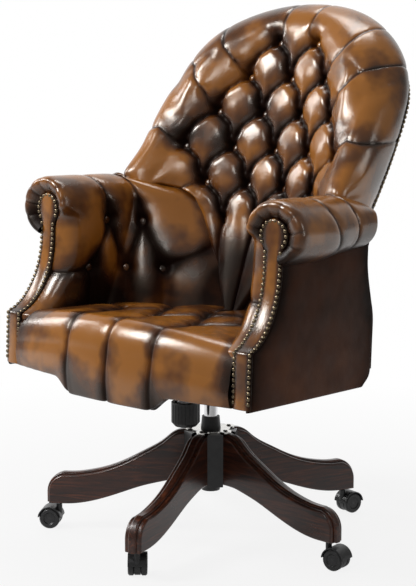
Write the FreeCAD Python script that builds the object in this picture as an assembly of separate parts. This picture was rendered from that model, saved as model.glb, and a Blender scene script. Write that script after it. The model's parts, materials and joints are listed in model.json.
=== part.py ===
import FreeCAD, Part
import math
import os

V = FreeCAD.Vector
AXIS_X = V(1, 0, 0)
AXIS_Y = V(0, 1, 0)
AXIS_Z = V(0, 0, 1)
ORIGIN = V(0, 0, 0)

# A swivel and tilt director's office chair with deep-buttoned leather.
# Millimetres, +Z up, front is -Y, origin on the floor under the swivel axis.

# Clearances
SEAT_GAP = 0.3          # between soft pieces and what carries them
RUN_FIT = 0.05          # radial play of a turning or sliding fit
PRESS_FIT = 0.0         # radial play of a pressed joint

# Base: five moulded legs in a slotted hub
LEG_COUNT = 5
BASE_TURN = -2.0        # degrees, how the star stands under the seat in the photo
LEG_REACH = 345.0       # swivel axis to leg tip
LEG_WIDTH = 36.0
LEG_BEAD_WIDTH = 17.0   # raised bead along the top
LEG_BEAD_RISE = 5.0
LEG_EDGE_ROUND = 4.0
LEG_FOOT_Z = 55.0       # flat underside at the tip
LEG_TIP_TOP_Z = 121.0
LEG_ROOT_TOP_Z = 222.0
LEG_ROOT_LOW_Z = 116.0
LEG_NOSE = 36.0         # length of the rounded tip
LEG_ROOT_R = 27.0       # inner end of the leg in the hub
HUB_FLAT_R = 53.0       # axis to the hub's flats between legs
HUB_LOW_Z = 112.0
HUB_TOP_Z = 222.0
PLATE_THICK = 3.5
PLATE_DISC_R = 40.0
PLATE_LOBE_R = 12.0
PLATE_HOLE_PITCH_R = 42.0
SCREW_R = 3.0
SCREW_HEAD_R = 5.5
SCREW_HEAD_H = 2.6
SCREW_LENGTH = 30.0

# Gas lift
TUBE_R = 19.0
TUBE_WALL = 3.0
TUBE_LOW_Z = 95.0
TUBE_FLOOR = 5.0
TUBE_ABOVE_PLATE = 12.0
BUSH_LOW_R = 20.6
BUSH_TOP_R = 18.2
BUSH_HEIGHT = 25.0
PISTON_R = 14.0
PISTON_WALL = 1.8
PISTON_LOW_Z = 130.0
PISTON_TOP_Z = 318.0
PISTON_CAP = 8.0
ROD_R = 5.0
ROD_HEAD_Z = 262.0
ROD_HEAD_H = 8.0
ROD_SHOULDER_R = 10.0
ROD_SHOULDER_H = 5.0
BEARING_R = 12.5
BEARING_H = 6.0
CLIP_R = 9.0
CLIP_H = 2.0
RELEASE_PIN_R = 3.5
RELEASE_PIN_ABOVE = 5.0

# Castors
STEM_ORBIT_R = 321.0
STEM_R = 4.5
STEM_TOP_Z = 92.0
STEM_LOW_Z = 24.0
SOCKET_WALL = 2.0
SOCKET_FLANGE_R = 9.0
SOCKET_FLANGE_H = 2.0
WHEEL_R = 21.5
WHEEL_WIDTH = 12.0
WHEEL_DISH = 2.0
WHEEL_DISH_R = 13.0
CASTOR_TRAIL = 18.0
CASTOR_GAP = 13.2       # between the two wheels
AXLE_R = 3.0
HOOD_GAP = 1.0
HOOD_WALL = 2.4
HOOD_TOP_Z = 50.5
HOOD_BOSS_R = 6.2
HOOD_WEB = 11.6
# Direction in which each castor trails, in degrees from +X
CASTOR_YAWS = (7.0, 77.0, 150.0, 214.0, 132.0)

# Tilt mechanism
PIN_Y = -34.0
PIN_Z = 328.0
PIN_R = 5.0
HOUSING_HALF_W = 42.0
HOUSING_WALL = 3.5
HOUSING_FRONT_Y = -106.0
HOUSING_REAR_Y = 40.0
HOUSING_LOW_Z = 314.0
HOUSING_FLOOR = 3.0
HOUSING_SIDE_H = 23.0
HOUSING_REAR_H = 12.0
SOCKET_R = 21.0
SOCKET_LOW_Z = 286.0
KNOB_Y = -76.0
KNOB_R = 29.0
KNOB_LOW_Z = 244.0
KNOB_RIM_Z = 293.0
KNOB_FOOT_R = 22.0
KNOB_FOOT_H = 8.0
KNOB_FLOOR = 16.0
KNOB_CUP_R = 22.0
KNOB_RIBS = 24
KNOB_RIB_R = 2.4
BOLT_R = 5.0
BOLT_SLOT_R = 10.0
SPRING_WIRE_R = 2.6
SPRING_R = 15.0
SPRING_WIRE_SIDES = 8
SPRING_TURNS = 6
LEVER_R = 3.5
LEVER_PIVOT_X = -30.0
LEVER_INNER_X = 5.0
LEVER_DROP = 28.0
LEVER_BEND_X = -62.0
LEVER_OUT_X = -150.0
LEVER_PIN_R = 2.5
LEVER_PIN_HALF = 15.0   # half length of the cross pin that the lever rocks on
CHEEK_THICK = 4.0       # the pin's two bearings on the housing's floor
CHEEK_HALF_W = 5.0
CHEEK_ABOVE_PIN = 3.5
PADDLE_LENGTH = 62.0
PADDLE_WIDTH = 26.0
PADDLE_THICK = 9.0
TILT_PLATE_HALF_W = 84.0
TILT_PLATE_FRONT_Y = -112.0
TILT_PLATE_REAR_Y = 98.0
TILT_PLATE_THICK = 4.0
FLANGE_LENGTH = 52.0
FLANGE_DROP = 30.0
PLATE_BOLT_R = 4.0
PLATE_BOLT_HEAD_R = 7.0
PLATE_BOLT_HEAD_H = 4.0
PLATE_BOLT_INSET = 18.0

# Upholstery, built upright and leaned back as one
RAKE = 2.6              # degrees
RAKE_Z = 400.0          # height of the point it leans about
SEAT_HALF_W = 283.0     # arms, back and rails follow the seat's width
ARM_BESIDE_SEAT = 24.0
ARM_X = SEAT_HALF_W + ARM_BESIDE_SEAT  # middle of the roll
BOARD_LOW_Z = 346.0
BOARD_THICK = 16.0
RAIL_HEIGHT = 58.0
RAIL_THICK = 28.0
RAIL_FRONT_Y = -255.0
RAIL_REAR_Y = 169.0
RAIL_INSIDE_ARM = 102.0
RAIL_HALF_W = ARM_X - RAIL_INSIDE_ARM
BOARD_SIDE_Y = 140.0    # the board's sides end here and its rear corners are cut off

# Arms
ARM_TOE = 4.0           # degrees that each arm turns in towards the back
ARM_ROLL_Z = 666.0
ARM_ROLL_R = 62.0
ARM_ROLL_REAR_R = 52.0  # the roll thins towards the back and stays level on top
ARM_INNER_PAD = 55.0
ARM_IN_X = ARM_X - ARM_INNER_PAD  # inner face beside the seat
ARM_FRAME_INNER = 15.0
ARM_FRAME_IN_X = ARM_X - ARM_FRAME_INNER
ARM_FRAME_OUTER = 11.0
ARM_FRAME_OUT_X = ARM_X + ARM_FRAME_OUTER
ARM_FRAME_TOP_Z = 640.0
ARM_SKIN = 10.0
PANEL_GAP = 0.9         # outside arm below the roll
ARM_END_Y = 88.0
ARM_REAR_Y = 141.5
ARM_WAIST_Y = 116.0     # rear edge of the side at the waist
ARM_WAIST_Z = 600.0
ARM_KICK_Z = 470.0
ARM_LOW_Z = 362.3
FACE_Y = -262.0         # lower front of the arm
FACE_SWEEP = 84.0       # how far the front sweeps back above the shoulder
FACE_LOW_Z = 346.0
FACE_SHOULDER_Z = 454.0
FACE_SWEEP_TOP_Z = 600.0
FACE_WIDTH = 44.0
FACE_THICK = 8.0
FACE_SCROLL_R = 33.0
FACE_SCROLL_Z = 661.0
ARM_MOUTH = 16.0        # depth of the roll's rounded front
ARM_BUTTON_LOW_Z = 522.0
ARM_BUTTON_HIGH_Z = 606.0
ARM_BUTTON_FIRST_Y = -121.0
ARM_BUTTON_PITCH = 112.0
ARM_BUTTON_SINK = 15.0
ARM_SWELL = 9.0

# Seat
SEAT_FRONT_Y = -304.0
SEAT_BOW = 34.0         # how far the front falls back at the sides
SEAT_REAR_Y = 118.0
SEAT_CROWN_Z = 478.0
SEAT_SIDE_FALL = 22.0
SEAT_ROLL_R = 38.0
SEAT_DROP_Z = 318.0     # lower edge at the middle of the front
SEAT_DROP_HALF_W = 117.0
SEAT_DROP_SLOPE = 48.0
SEAT_PITCH = 112.0      # across, between buttons
SEAT_ROW_Y = -166.0
SEAT_ROW_PITCH = 90.0
SEAT_SINK = 22.0
SEAT_PLEAT = 13.0
SEAT_EAR_REAR_Y = FACE_Y + FACE_THICK  # the pad's front ears stop where the arms begin

# Back
BACK_LOW_Z = 470.0
BACK_TOP_Z = 1092.0
BACK_WAIST_Z = 640.0
BACK_WAIST_W = ARM_IN_X
BACK_SHOULDER_DROP = 207.0
BACK_SHOULDER_Z = BACK_TOP_Z - BACK_SHOULDER_DROP
BACK_SHOULDER_INSIDE = 19.0
BACK_SHOULDER_W = ARM_X - BACK_SHOULDER_INSIDE
TUB_INSIDE = 9.0
TUB_W = ARM_X - TUB_INSIDE  # half width of the outside back at seat height
TUB_Z = 470.0
TUB_NECK_Z = 600.0      # waist of the outside back behind the arms
TUB_NECK_INSIDE = 17.0
TUB_NECK_W = ARM_X - TUB_NECK_INSIDE
TUB_NECK_EDGE_Y = 120.0
TUB_SHOULDER_Z = 665.0
BACK_LEAN = 0.31        # rise of depth per rise of height
BACK_BUTTON_Y = 166.0   # depth of the buttons at BACK_REF_Z
BACK_REF_Z = 708.0
BACK_HOLLOW = 55.0      # how far the back comes forward at HOLLOW_X
HOLLOW_X = 200.0
BACK_EDGE_Y = 190.0     # depth of the rear edge at BACK_REF_Z
BACK_EDGE_LEAN = 0.333
TUB_EDGE_Y = 146.0
BACK_SAG = 50.0         # bow of the outside back across its width
BACK_ROLL_R = 62.0
WING_LEVEL_Z = 785.0    # the rolled edge comes forward below this height and falls back above it
WING_SLOPE = 0.35
WING_BACK = 46.0
WING_LOW_Z = 690.0      # the wings end on the arms here
WING_LOW_BACK = 15.0
WING_STEP = 50.0
WING_FLARE = 22.0
WING_FLARE_REACH = 100.0
BACK_NAIL_INSET = 10.0
BACK_ROW_COUNTS = (2, 3, 4, 5, 4, 3)
BACK_ROW_LOW_Z = 649.5
BACK_TOP_BORDER = 71.0  # from the top row of buttons to the top of the roll
BACK_ROW_TOP_Z = BACK_TOP_Z - BACK_TOP_BORDER
BACK_ROW_PITCH = (BACK_ROW_TOP_Z - BACK_ROW_LOW_Z) / (len(BACK_ROW_COUNTS) - 1)
BACK_PITCH = BACK_SHOULDER_W * 17 / 48  # five buttons share the back's width
BACK_SINK = 34.0
OUTSIDE_THICK = 9.0
OUTSIDE_TOP_INSET = 44.0
FRAME_THICK = 22.0
PAD_CUT = 0.5           # pad ahead of the outside back
FRAME_SETBACK = 0.6     # frame ahead of the outside back
FRAME_INSET = 58.0
FRAME_TOP_INSET = 98.0
FRAME_MEMBER = 52.0

# Buttons
BUTTON_R = 9.0
BUTTON_H = 5.0
BUTTON_WELL_R = 9.4


# Small helpers
def pick(a, b, t):
    return a + (b - a) * t


def clamp(t):
    return max(0.0, min(1.0, t))


def smooth(t):
    t = clamp(t)
    return t * t * (3 - 2 * t)


def edge(a, b):
    return Part.makeLine(V(*a), V(*b))


def arc(a, b, c):
    return Part.Arc(V(*a), V(*b), V(*c)).toShape()


def polygon_prism(points, travel):
    wire = Part.makePolygon([V(*p) for p in points] + [V(*points[0])])
    return Part.Face(wire).extrude(travel)


def box(x0, x1, y0, y1, z0, z1):
    return Part.makeBox(x1 - x0, y1 - y0, z1 - z0, V(x0, y0, z0))


def post(r, z0, z1, x=0.0, y=0.0):
    return Part.makeCylinder(r, z1 - z0, V(x, y, z0))


def bar(r, start, end):
    a = V(*start)
    b = V(*end)
    return Part.makeCylinder(r, (b - a).Length, a, b - a)


def revolved(profile, axis=AXIS_Z, turn=360):
    wire = Part.makePolygon([V(*p) for p in profile] + [V(*profile[0])])
    return Part.Face(wire).revolve(ORIGIN, axis, turn)


def turned(shape, degrees, axis=AXIS_Z, centre=ORIGIN):
    copy = shape.copy()
    copy.rotate(centre, axis, degrees)
    return copy


def moved(shape, x, y, z):
    copy = shape.copy()
    copy.translate(V(x, y, z))
    return copy


def mirrored(shape):
    return shape.mirror(ORIGIN, AXIS_X)


def raked(shape):
    return turned(shape, -RAKE, AXIS_X, V(0, 0, RAKE_Z))


def toed(shape):
    return turned(shape, ARM_TOE, AXIS_Z, V(ARM_X, FACE_Y + FACE_SWEEP / 2, 0))


def group(shapes):
    return Part.makeCompound(shapes)


def leg_angles():
    return [BASE_TURN + 360.0 / LEG_COUNT * k for k in range(LEG_COUNT)]


def save(shape, name):
    shape.exportStep("parts/" + name + ".step")


# Base
def leg_top_z(t):
    fall = (1 + math.cos(math.pi * t ** 0.65)) / 2
    return pick(LEG_TIP_TOP_Z, LEG_ROOT_TOP_Z, fall)


def leg_low_z(t):
    return pick(LEG_FOOT_Z, LEG_ROOT_LOW_Z, (1 + math.cos(math.pi * t)) / 2)


def leg_profile(drop):
    start = HUB_FLAT_R
    nose = LEG_REACH - LEG_NOSE
    steps = 6
    top = []
    low = []
    for k in range(steps + 1):
        t = k / steps
        r = pick(start, nose, t)
        top.append(V(r, 0, leg_top_z(t) - drop))
        low.append(V(pick(nose, start, t), 0, leg_low_z(1 - t)))
    top_curve = Part.BSplineCurve()
    top_curve.interpolate(Points=top, InitialTangent=AXIS_X, FinalTangent=AXIS_X)
    low_curve = Part.BSplineCurve()
    low_curve.interpolate(Points=low, InitialTangent=-AXIS_X, FinalTangent=-AXIS_X)
    tip_drop = LEG_TIP_TOP_Z - LEG_FOOT_Z
    tip = V(LEG_REACH - drop, 0, LEG_FOOT_Z + 0.35 * tip_drop)
    brow = V(nose + 0.66 * LEG_NOSE - 0.6 * drop, 0, LEG_TIP_TOP_Z - 0.2 * tip_drop - 0.7 * drop)
    foot = V(LEG_REACH - drop, 0, LEG_FOOT_Z)
    root_top = V(LEG_ROOT_R, 0, LEG_ROOT_TOP_Z - drop)
    root_low = V(LEG_ROOT_R, 0, LEG_ROOT_LOW_Z)
    edges = [
        Part.makeLine(root_top, top[0]),
        top_curve.toShape(),
        Part.Arc(top[-1], brow, tip).toShape(),
        Part.makeLine(tip, foot),
        Part.makeLine(foot, low[0]),
        low_curve.toShape(),
        Part.makeLine(low[-1], root_low),
        Part.makeLine(root_low, root_top),
    ]
    return Part.Face(Part.Wire(edges))


def leg_slab(width, drop):
    slab = leg_profile(drop).extrude(V(0, width, 0))
    slab.translate(V(0, -width / 2, 0))
    return slab


def top_edges(shape, half_width):
    found = []
    for candidate in shape.Edges:
        middle = candidate.valueAt(pick(candidate.FirstParameter, candidate.LastParameter, 0.5))
        on_side = abs(abs(middle.y) - half_width) < 0.01
        level = candidate.BoundBox.YLength < 0.01
        high = candidate.BoundBox.ZMax > LEG_TIP_TOP_Z - LEG_BEAD_RISE - 1.0
        outer = candidate.BoundBox.XMax > HUB_FLAT_R + 1.0
        if on_side and level and high and outer and candidate.Length > LEG_NOSE / 2:
            found.append(candidate)
    return found


def leg():
    lower = leg_slab(LEG_WIDTH, LEG_BEAD_RISE)
    lower = lower.makeFillet(LEG_EDGE_ROUND, top_edges(lower, LEG_WIDTH / 2))
    bead = leg_slab(LEG_BEAD_WIDTH, 0.0)
    bead = bead.makeFillet(LEG_EDGE_ROUND, top_edges(bead, LEG_BEAD_WIDTH / 2))
    socket_r = STEM_R + SOCKET_WALL
    whole = lower.fuse(bead).removeSplitter()
    whole = whole.cut(post(socket_r, LEG_FOOT_Z - 1.0, STEM_TOP_Z, STEM_ORBIT_R))
    screw_low = HUB_TOP_Z - SCREW_LENGTH
    return whole.cut(post(SCREW_R, screw_low, HUB_TOP_Z + 1.0, PLATE_HOLE_PITCH_R))


def hub_core():
    corner_r = HUB_FLAT_R / math.cos(math.pi / LEG_COUNT)
    corners = []
    for angle in leg_angles():
        a = math.radians(angle)
        corners.append((corner_r * math.cos(a), corner_r * math.sin(a), HUB_LOW_Z))
    core = polygon_prism(corners, V(0, 0, HUB_TOP_Z - HUB_LOW_Z))
    slots = []
    for angle in leg_angles():
        slot = box(LEG_ROOT_R, corner_r + 1, -LEG_WIDTH / 2, LEG_WIDTH / 2, HUB_LOW_Z - 1, HUB_TOP_Z + 1)
        slots.append(turned(slot, angle))
    core = core.cut(group(slots))
    return core.cut(post(TUBE_R + PRESS_FIT, HUB_LOW_Z - 1, HUB_TOP_Z + 1))


def hub_top_plate():
    plate = post(PLATE_DISC_R, HUB_TOP_Z, HUB_TOP_Z + PLATE_THICK)
    for angle in leg_angles():
        lobe = post(PLATE_LOBE_R, HUB_TOP_Z, HUB_TOP_Z + PLATE_THICK, PLATE_HOLE_PITCH_R)
        plate = plate.fuse(turned(lobe, angle))
    holes = [post(TUBE_R + PRESS_FIT, HUB_TOP_Z - 1, HUB_TOP_Z + PLATE_THICK + 1)]
    for angle in leg_angles():
        hole = post(SCREW_R, HUB_TOP_Z - 1, HUB_TOP_Z + PLATE_THICK + 1, PLATE_HOLE_PITCH_R)
        holes.append(turned(hole, angle))
    return plate.removeSplitter().cut(group(holes))


def leg_screws():
    head_z = HUB_TOP_Z + PLATE_THICK
    shank = post(SCREW_R, HUB_TOP_Z - SCREW_LENGTH, head_z, PLATE_HOLE_PITCH_R)
    head = Part.makeCone(SCREW_HEAD_R, SCREW_R, SCREW_HEAD_H, V(PLATE_HOLE_PITCH_R, 0, head_z))
    screw = shank.fuse(head)
    return group([turned(screw, angle) for angle in leg_angles()])


def castor_sockets():
    outer = post(STEM_R + SOCKET_WALL, LEG_FOOT_Z, STEM_TOP_Z, STEM_ORBIT_R)
    flange = post(SOCKET_FLANGE_R, LEG_FOOT_Z - SOCKET_FLANGE_H, LEG_FOOT_Z, STEM_ORBIT_R)
    bore = post(STEM_R, LEG_FOOT_Z - SOCKET_FLANGE_H - 1, STEM_TOP_Z - SOCKET_WALL, STEM_ORBIT_R)
    socket = outer.fuse(flange).removeSplitter().cut(bore)
    return group([turned(socket, angle) for angle in leg_angles()])


def castor_stems():
    stem = post(STEM_R, STEM_LOW_Z, STEM_TOP_Z - SOCKET_WALL, STEM_ORBIT_R)
    return group([turned(stem, angle) for angle in leg_angles()])


# Gas lift
def gas_lift_tube():
    top = HUB_TOP_Z + PLATE_THICK + TUBE_ABOVE_PLATE
    tube = post(TUBE_R, TUBE_LOW_Z, top)
    tube = tube.cut(post(TUBE_R - TUBE_WALL, TUBE_LOW_Z + TUBE_FLOOR, top + 1))
    return tube.cut(post(ROD_R + RUN_FIT, TUBE_LOW_Z - 1, top))


def gas_lift_bush():
    low = HUB_TOP_Z + PLATE_THICK
    bush = Part.makeCone(BUSH_LOW_R, BUSH_TOP_R, BUSH_HEIGHT, V(0, 0, low))
    bush = bush.cut(post(TUBE_R, low - 1, low + TUBE_ABOVE_PLATE))
    sleeve = post(TUBE_R - TUBE_WALL, low - TUBE_ABOVE_PLATE, low + TUBE_ABOVE_PLATE)
    bush = bush.fuse(sleeve).removeSplitter()
    return bush.cut(post(PISTON_R + RUN_FIT, low - TUBE_ABOVE_PLATE - 1, low + BUSH_HEIGHT + 1))


def thrust_bearing():
    low = TUBE_LOW_Z + TUBE_FLOOR
    ring = post(BEARING_R, low, low + BEARING_H)
    return ring.cut(post(ROD_R + RUN_FIT, low - 1, low + BEARING_H + 1))


def gas_lift_rod():
    shoulder_z = TUBE_LOW_Z + TUBE_FLOOR + BEARING_H
    rod = post(ROD_R, TUBE_LOW_Z - CLIP_H * 2, ROD_HEAD_Z)
    shoulder = post(ROD_SHOULDER_R, shoulder_z, shoulder_z + ROD_SHOULDER_H)
    head = post(PISTON_R - PISTON_WALL - RUN_FIT, ROD_HEAD_Z - ROD_HEAD_H, ROD_HEAD_Z)
    return rod.fuse([shoulder, head]).removeSplitter()


def lift_clip():
    clip = post(CLIP_R, TUBE_LOW_Z - CLIP_H, TUBE_LOW_Z)
    return clip.cut(post(ROD_R, TUBE_LOW_Z - CLIP_H - 1, TUBE_LOW_Z + 1))


def gas_lift_piston():
    tube = post(PISTON_R, PISTON_LOW_Z, PISTON_TOP_Z)
    bore_top = PISTON_TOP_Z - PISTON_CAP
    tube = tube.cut(post(PISTON_R - PISTON_WALL, PISTON_LOW_Z + PISTON_CAP, bore_top))
    tube = tube.cut(post(ROD_R + RUN_FIT, PISTON_LOW_Z - 1, bore_top - 1))
    return tube.cut(post(RELEASE_PIN_R + RUN_FIT, bore_top - 1, PISTON_TOP_Z + 1))


def release_pin_top():
    return PISTON_TOP_Z + RELEASE_PIN_ABOVE


def release_pin():
    return post(RELEASE_PIN_R, PISTON_TOP_Z - PISTON_CAP, release_pin_top())


# Castors, built round their own stem with the axle along Y
def castor_hood():
    axle = V(CASTOR_TRAIL, 0, WHEEL_R)
    span = CASTOR_GAP + 2 * WHEEL_WIDTH
    inner_r = WHEEL_R + HOOD_GAP
    outer_r = inner_r + HOOD_WALL
    corner = axle - V(0, span / 2, 0)
    shell = Part.makeCylinder(outer_r, span, corner, AXIS_Y)
    shell = shell.cut(Part.makeCylinder(inner_r, span, corner, AXIS_Y))
    low = box(-outer_r, CASTOR_TRAIL + outer_r + 1, -span, span, -outer_r, WHEEL_R + HOOD_WALL)
    shell = shell.cut(low)
    web_low = -HOOD_WEB / 2
    web = Part.makeCylinder(WHEEL_R - HOOD_GAP, HOOD_WEB, V(CASTOR_TRAIL, web_low, WHEEL_R), AXIS_Y)
    lintel = Part.makeCylinder(outer_r, HOOD_WEB, V(CASTOR_TRAIL, web_low, WHEEL_R), AXIS_Y)
    lintel = lintel.cut(low)
    boss = post(HOOD_BOSS_R, STEM_LOW_Z - HOOD_WALL, HOOD_TOP_Z)
    hood = shell.fuse([web, lintel, boss]).removeSplitter()
    hood = hood.cut(post(STEM_R + RUN_FIT, STEM_LOW_Z, HOOD_TOP_Z + 1))
    return hood.cut(Part.makeCylinder(AXLE_R, span, corner, AXIS_Y))


def castor_axle():
    length = CASTOR_GAP + 2 * WHEEL_WIDTH - 2 * WHEEL_DISH
    return Part.makeCylinder(AXLE_R, length, V(CASTOR_TRAIL, -length / 2, WHEEL_R), AXIS_Y)


def castor_wheel(side):
    inner = CASTOR_GAP / 2
    outer = inner + WHEEL_WIDTH
    rim = 2.5
    profile = [
        (AXLE_R + RUN_FIT, inner, 0),
        (WHEEL_R - rim, inner, 0),
        (WHEEL_R, inner + rim, 0),
        (WHEEL_R, outer - rim, 0),
        (WHEEL_R - rim, outer, 0),
        (WHEEL_DISH_R, outer, 0),
        (WHEEL_DISH_R - WHEEL_DISH, outer - WHEEL_DISH, 0),
        (AXLE_R + RUN_FIT, outer - WHEEL_DISH, 0),
    ]
    wheel = revolved(profile, AXIS_Y)
    if side < 0:
        wheel = wheel.mirror(ORIGIN, AXIS_Y)
    return moved(wheel, CASTOR_TRAIL, 0, WHEEL_R)


def castor_places():
    places = []
    for angle, yaw in zip(leg_angles(), CASTOR_YAWS):
        a = math.radians(angle)
        places.append((STEM_ORBIT_R * math.cos(a), STEM_ORBIT_R * math.sin(a), yaw))
    return places


# Tilt mechanism
def mechanism_housing():
    top_front = HOUSING_LOW_Z + HOUSING_SIDE_H
    top_rear = HOUSING_LOW_Z + HOUSING_REAR_H
    side = [
        (-HOUSING_HALF_W, HOUSING_FRONT_Y, HOUSING_LOW_Z),
        (-HOUSING_HALF_W, HOUSING_FRONT_Y, top_rear),
        (-HOUSING_HALF_W, PIN_Y - 3 * PIN_R, top_front),
        (-HOUSING_HALF_W, PIN_Y + 3 * PIN_R, top_front),
        (-HOUSING_HALF_W, HOUSING_REAR_Y, top_rear),
        (-HOUSING_HALF_W, HOUSING_REAR_Y, HOUSING_LOW_Z),
    ]
    shell = polygon_prism(side, V(2 * HOUSING_HALF_W, 0, 0))
    inner_w = HOUSING_HALF_W - HOUSING_WALL
    front = HOUSING_FRONT_Y + HOUSING_WALL
    rear = HOUSING_REAR_Y - HOUSING_WALL
    shell = shell.cut(box(-inner_w, inner_w, front, rear, HOUSING_LOW_Z + HOUSING_FLOOR, top_front + 1))
    shell = shell.fuse(post(SOCKET_R, SOCKET_LOW_Z, HOUSING_LOW_Z + HOUSING_FLOOR)).removeSplitter()
    shell = shell.cut(post(PISTON_R, SOCKET_LOW_Z - 1, top_front))
    slot = post(BOLT_SLOT_R, HOUSING_LOW_Z - 1, HOUSING_LOW_Z + HOUSING_FLOOR + 1, 0, KNOB_Y)
    shell = shell.cut(slot)
    lever_way = box(-HOUSING_HALF_W - 1, LEVER_PIVOT_X, -3 * LEVER_R, 3 * LEVER_R,
                    HOUSING_LOW_Z - 1, top_front)
    shell = shell.cut(lever_way)
    outer = LEVER_PIN_HALF - SEAT_GAP
    for near in (outer - CHEEK_THICK, -outer):
        cheek = box(LEVER_PIVOT_X - CHEEK_HALF_W, LEVER_PIVOT_X + CHEEK_HALF_W, near, near + CHEEK_THICK,
                    HOUSING_LOW_Z + HOUSING_FLOOR, lever_z() + CHEEK_ABOVE_PIN)
        shell = shell.fuse(cheek)
    shell = shell.removeSplitter().cut(lever_pin(LEVER_PIN_R + RUN_FIT))
    return shell.cut(bar(PIN_R, (-HOUSING_HALF_W - 1, PIN_Y, PIN_Z), (HOUSING_HALF_W + 1, PIN_Y, PIN_Z)))


def flange_inner_x():
    return HOUSING_HALF_W + SEAT_GAP


def tilt_pin():
    reach = flange_inner_x() + TILT_PLATE_THICK
    return bar(PIN_R, (-reach, PIN_Y, PIN_Z), (reach, PIN_Y, PIN_Z))


def plate_bolt_places():
    x = TILT_PLATE_HALF_W - PLATE_BOLT_INSET
    front = TILT_PLATE_FRONT_Y + PLATE_BOLT_INSET
    rear = TILT_PLATE_REAR_Y - PLATE_BOLT_INSET
    return [(x, front), (-x, front), (x, rear), (-x, rear)]


def tilt_plate():
    low = BOARD_LOW_Z - TILT_PLATE_THICK
    w = TILT_PLATE_HALF_W
    plate = box(-w, w, TILT_PLATE_FRONT_Y, TILT_PLATE_REAR_Y, low, BOARD_LOW_Z)
    inner = flange_inner_x()
    for x in (inner, -inner - TILT_PLATE_THICK):
        ear = box(x, x + TILT_PLATE_THICK, PIN_Y - FLANGE_LENGTH / 2, PIN_Y + FLANGE_LENGTH / 2,
                  BOARD_LOW_Z - FLANGE_DROP, BOARD_LOW_Z)
        plate = plate.fuse(ear)
    holes = [post(PLATE_BOLT_R, low - 1, BOARD_LOW_Z + 1, x, y) for x, y in plate_bolt_places()]
    plate = raked(plate.removeSplitter().cut(group(holes)))
    return plate.cut(bar(PIN_R + RUN_FIT, (-w, PIN_Y, PIN_Z), (w, PIN_Y, PIN_Z)))


def plate_bolts():
    low = BOARD_LOW_Z - TILT_PLATE_THICK
    bolts = []
    for x, y in plate_bolt_places():
        shank = post(PLATE_BOLT_R, low, BOARD_LOW_Z + BOARD_THICK, x, y)
        head = post(PLATE_BOLT_HEAD_R, low - PLATE_BOLT_HEAD_H, low, x, y)
        bolts.append(raked(shank.fuse(head)))
    return group(bolts)


def tension_bolt():
    bolt = post(BOLT_R, KNOB_LOW_Z + KNOB_FOOT_H, BOARD_LOW_Z, 0, KNOB_Y)
    collar = post(2 * BOLT_R, BOARD_LOW_Z - 3 * TILT_PLATE_THICK, BOARD_LOW_Z + BOARD_THICK, 0, KNOB_Y)
    w = TILT_PLATE_HALF_W
    above = raked(box(-w, w, TILT_PLATE_FRONT_Y, TILT_PLATE_REAR_Y,
                      BOARD_LOW_Z - TILT_PLATE_THICK, BOARD_LOW_Z + 3 * BOARD_THICK))
    return bolt.fuse(collar).removeSplitter().cut(above)


def tension_knob():
    profile = [
        (0, 0, KNOB_LOW_Z),
        (KNOB_FOOT_R, 0, KNOB_LOW_Z),
        (KNOB_R, 0, KNOB_LOW_Z + KNOB_FOOT_H),
        (KNOB_R, 0, KNOB_RIM_Z),
        (KNOB_CUP_R, 0, KNOB_RIM_Z),
        (KNOB_CUP_R, 0, KNOB_LOW_Z + KNOB_FLOOR),
        (0, 0, KNOB_LOW_Z + KNOB_FLOOR),
    ]
    knob = revolved(profile)
    grooves = []
    for k in range(KNOB_RIBS):
        groove = post(KNOB_RIB_R, KNOB_LOW_Z - 1, KNOB_RIM_Z - KNOB_RIB_R, KNOB_R + KNOB_RIB_R / 2)
        grooves.append(turned(groove, 360.0 / KNOB_RIBS * k))
    knob = knob.cut(group(grooves))
    knob = knob.cut(post(BOLT_R + RUN_FIT, KNOB_LOW_Z + KNOB_FOOT_H, KNOB_RIM_Z))
    return moved(knob, 0, KNOB_Y, 0)


def spring_point(quarter, low, high):
    t = quarter / (4.0 * SPRING_TURNS)
    a = math.pi / 2 * quarter
    z = pick(low, high, t)
    return (SPRING_R * math.cos(a), KNOB_Y + SPRING_R * math.sin(a), z)


def tension_spring():
    low = KNOB_LOW_Z + KNOB_FLOOR + SPRING_WIRE_R + SEAT_GAP
    high = HOUSING_LOW_Z - SPRING_WIRE_R - SEAT_GAP
    arcs = []
    for quarter in range(4 * SPRING_TURNS):
        ends = [spring_point(quarter + step, low, high) for step in (0, 0.5, 1)]
        arcs.append(arc(*ends))
    path = Part.Wire(arcs)
    start = spring_point(0, low, high)
    corners = []
    for k in range(SPRING_WIRE_SIDES + 1):
        a = 2 * math.pi * k / SPRING_WIRE_SIDES
        across = SPRING_WIRE_R * math.cos(a)
        up = SPRING_WIRE_R * math.sin(a)
        corners.append(V(start[0] + across, start[1], start[2] + up))
    ring = Part.makePolygon(corners)
    gap = (high - low) / SPRING_TURNS - 2 * SPRING_WIRE_R
    print("gap between spring turns", round(gap, 2))
    return path.makePipeShell([ring], True, False)


def lever_z():
    return release_pin_top() + LEVER_R + SEAT_GAP


def lever_pin(r):
    return bar(r, (LEVER_PIVOT_X, -LEVER_PIN_HALF, lever_z()), (LEVER_PIVOT_X, LEVER_PIN_HALF, lever_z()))


def lift_lever():
    high = lever_z()
    low = high - LEVER_DROP
    inner = (LEVER_INNER_X, 0, high)
    bend = (LEVER_PIVOT_X, 0, high)
    knee = (LEVER_BEND_X, 0, low)
    outer = (LEVER_OUT_X, 0, low)
    rod = bar(LEVER_R, inner, bend)
    rod = rod.fuse([bar(LEVER_R, bend, knee), bar(LEVER_R, knee, outer)])
    rod = rod.fuse([Part.makeSphere(LEVER_R, V(*bend)), Part.makeSphere(LEVER_R, V(*knee))])
    return rod.fuse(lever_pin(LEVER_PIN_R)).removeSplitter()


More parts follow.
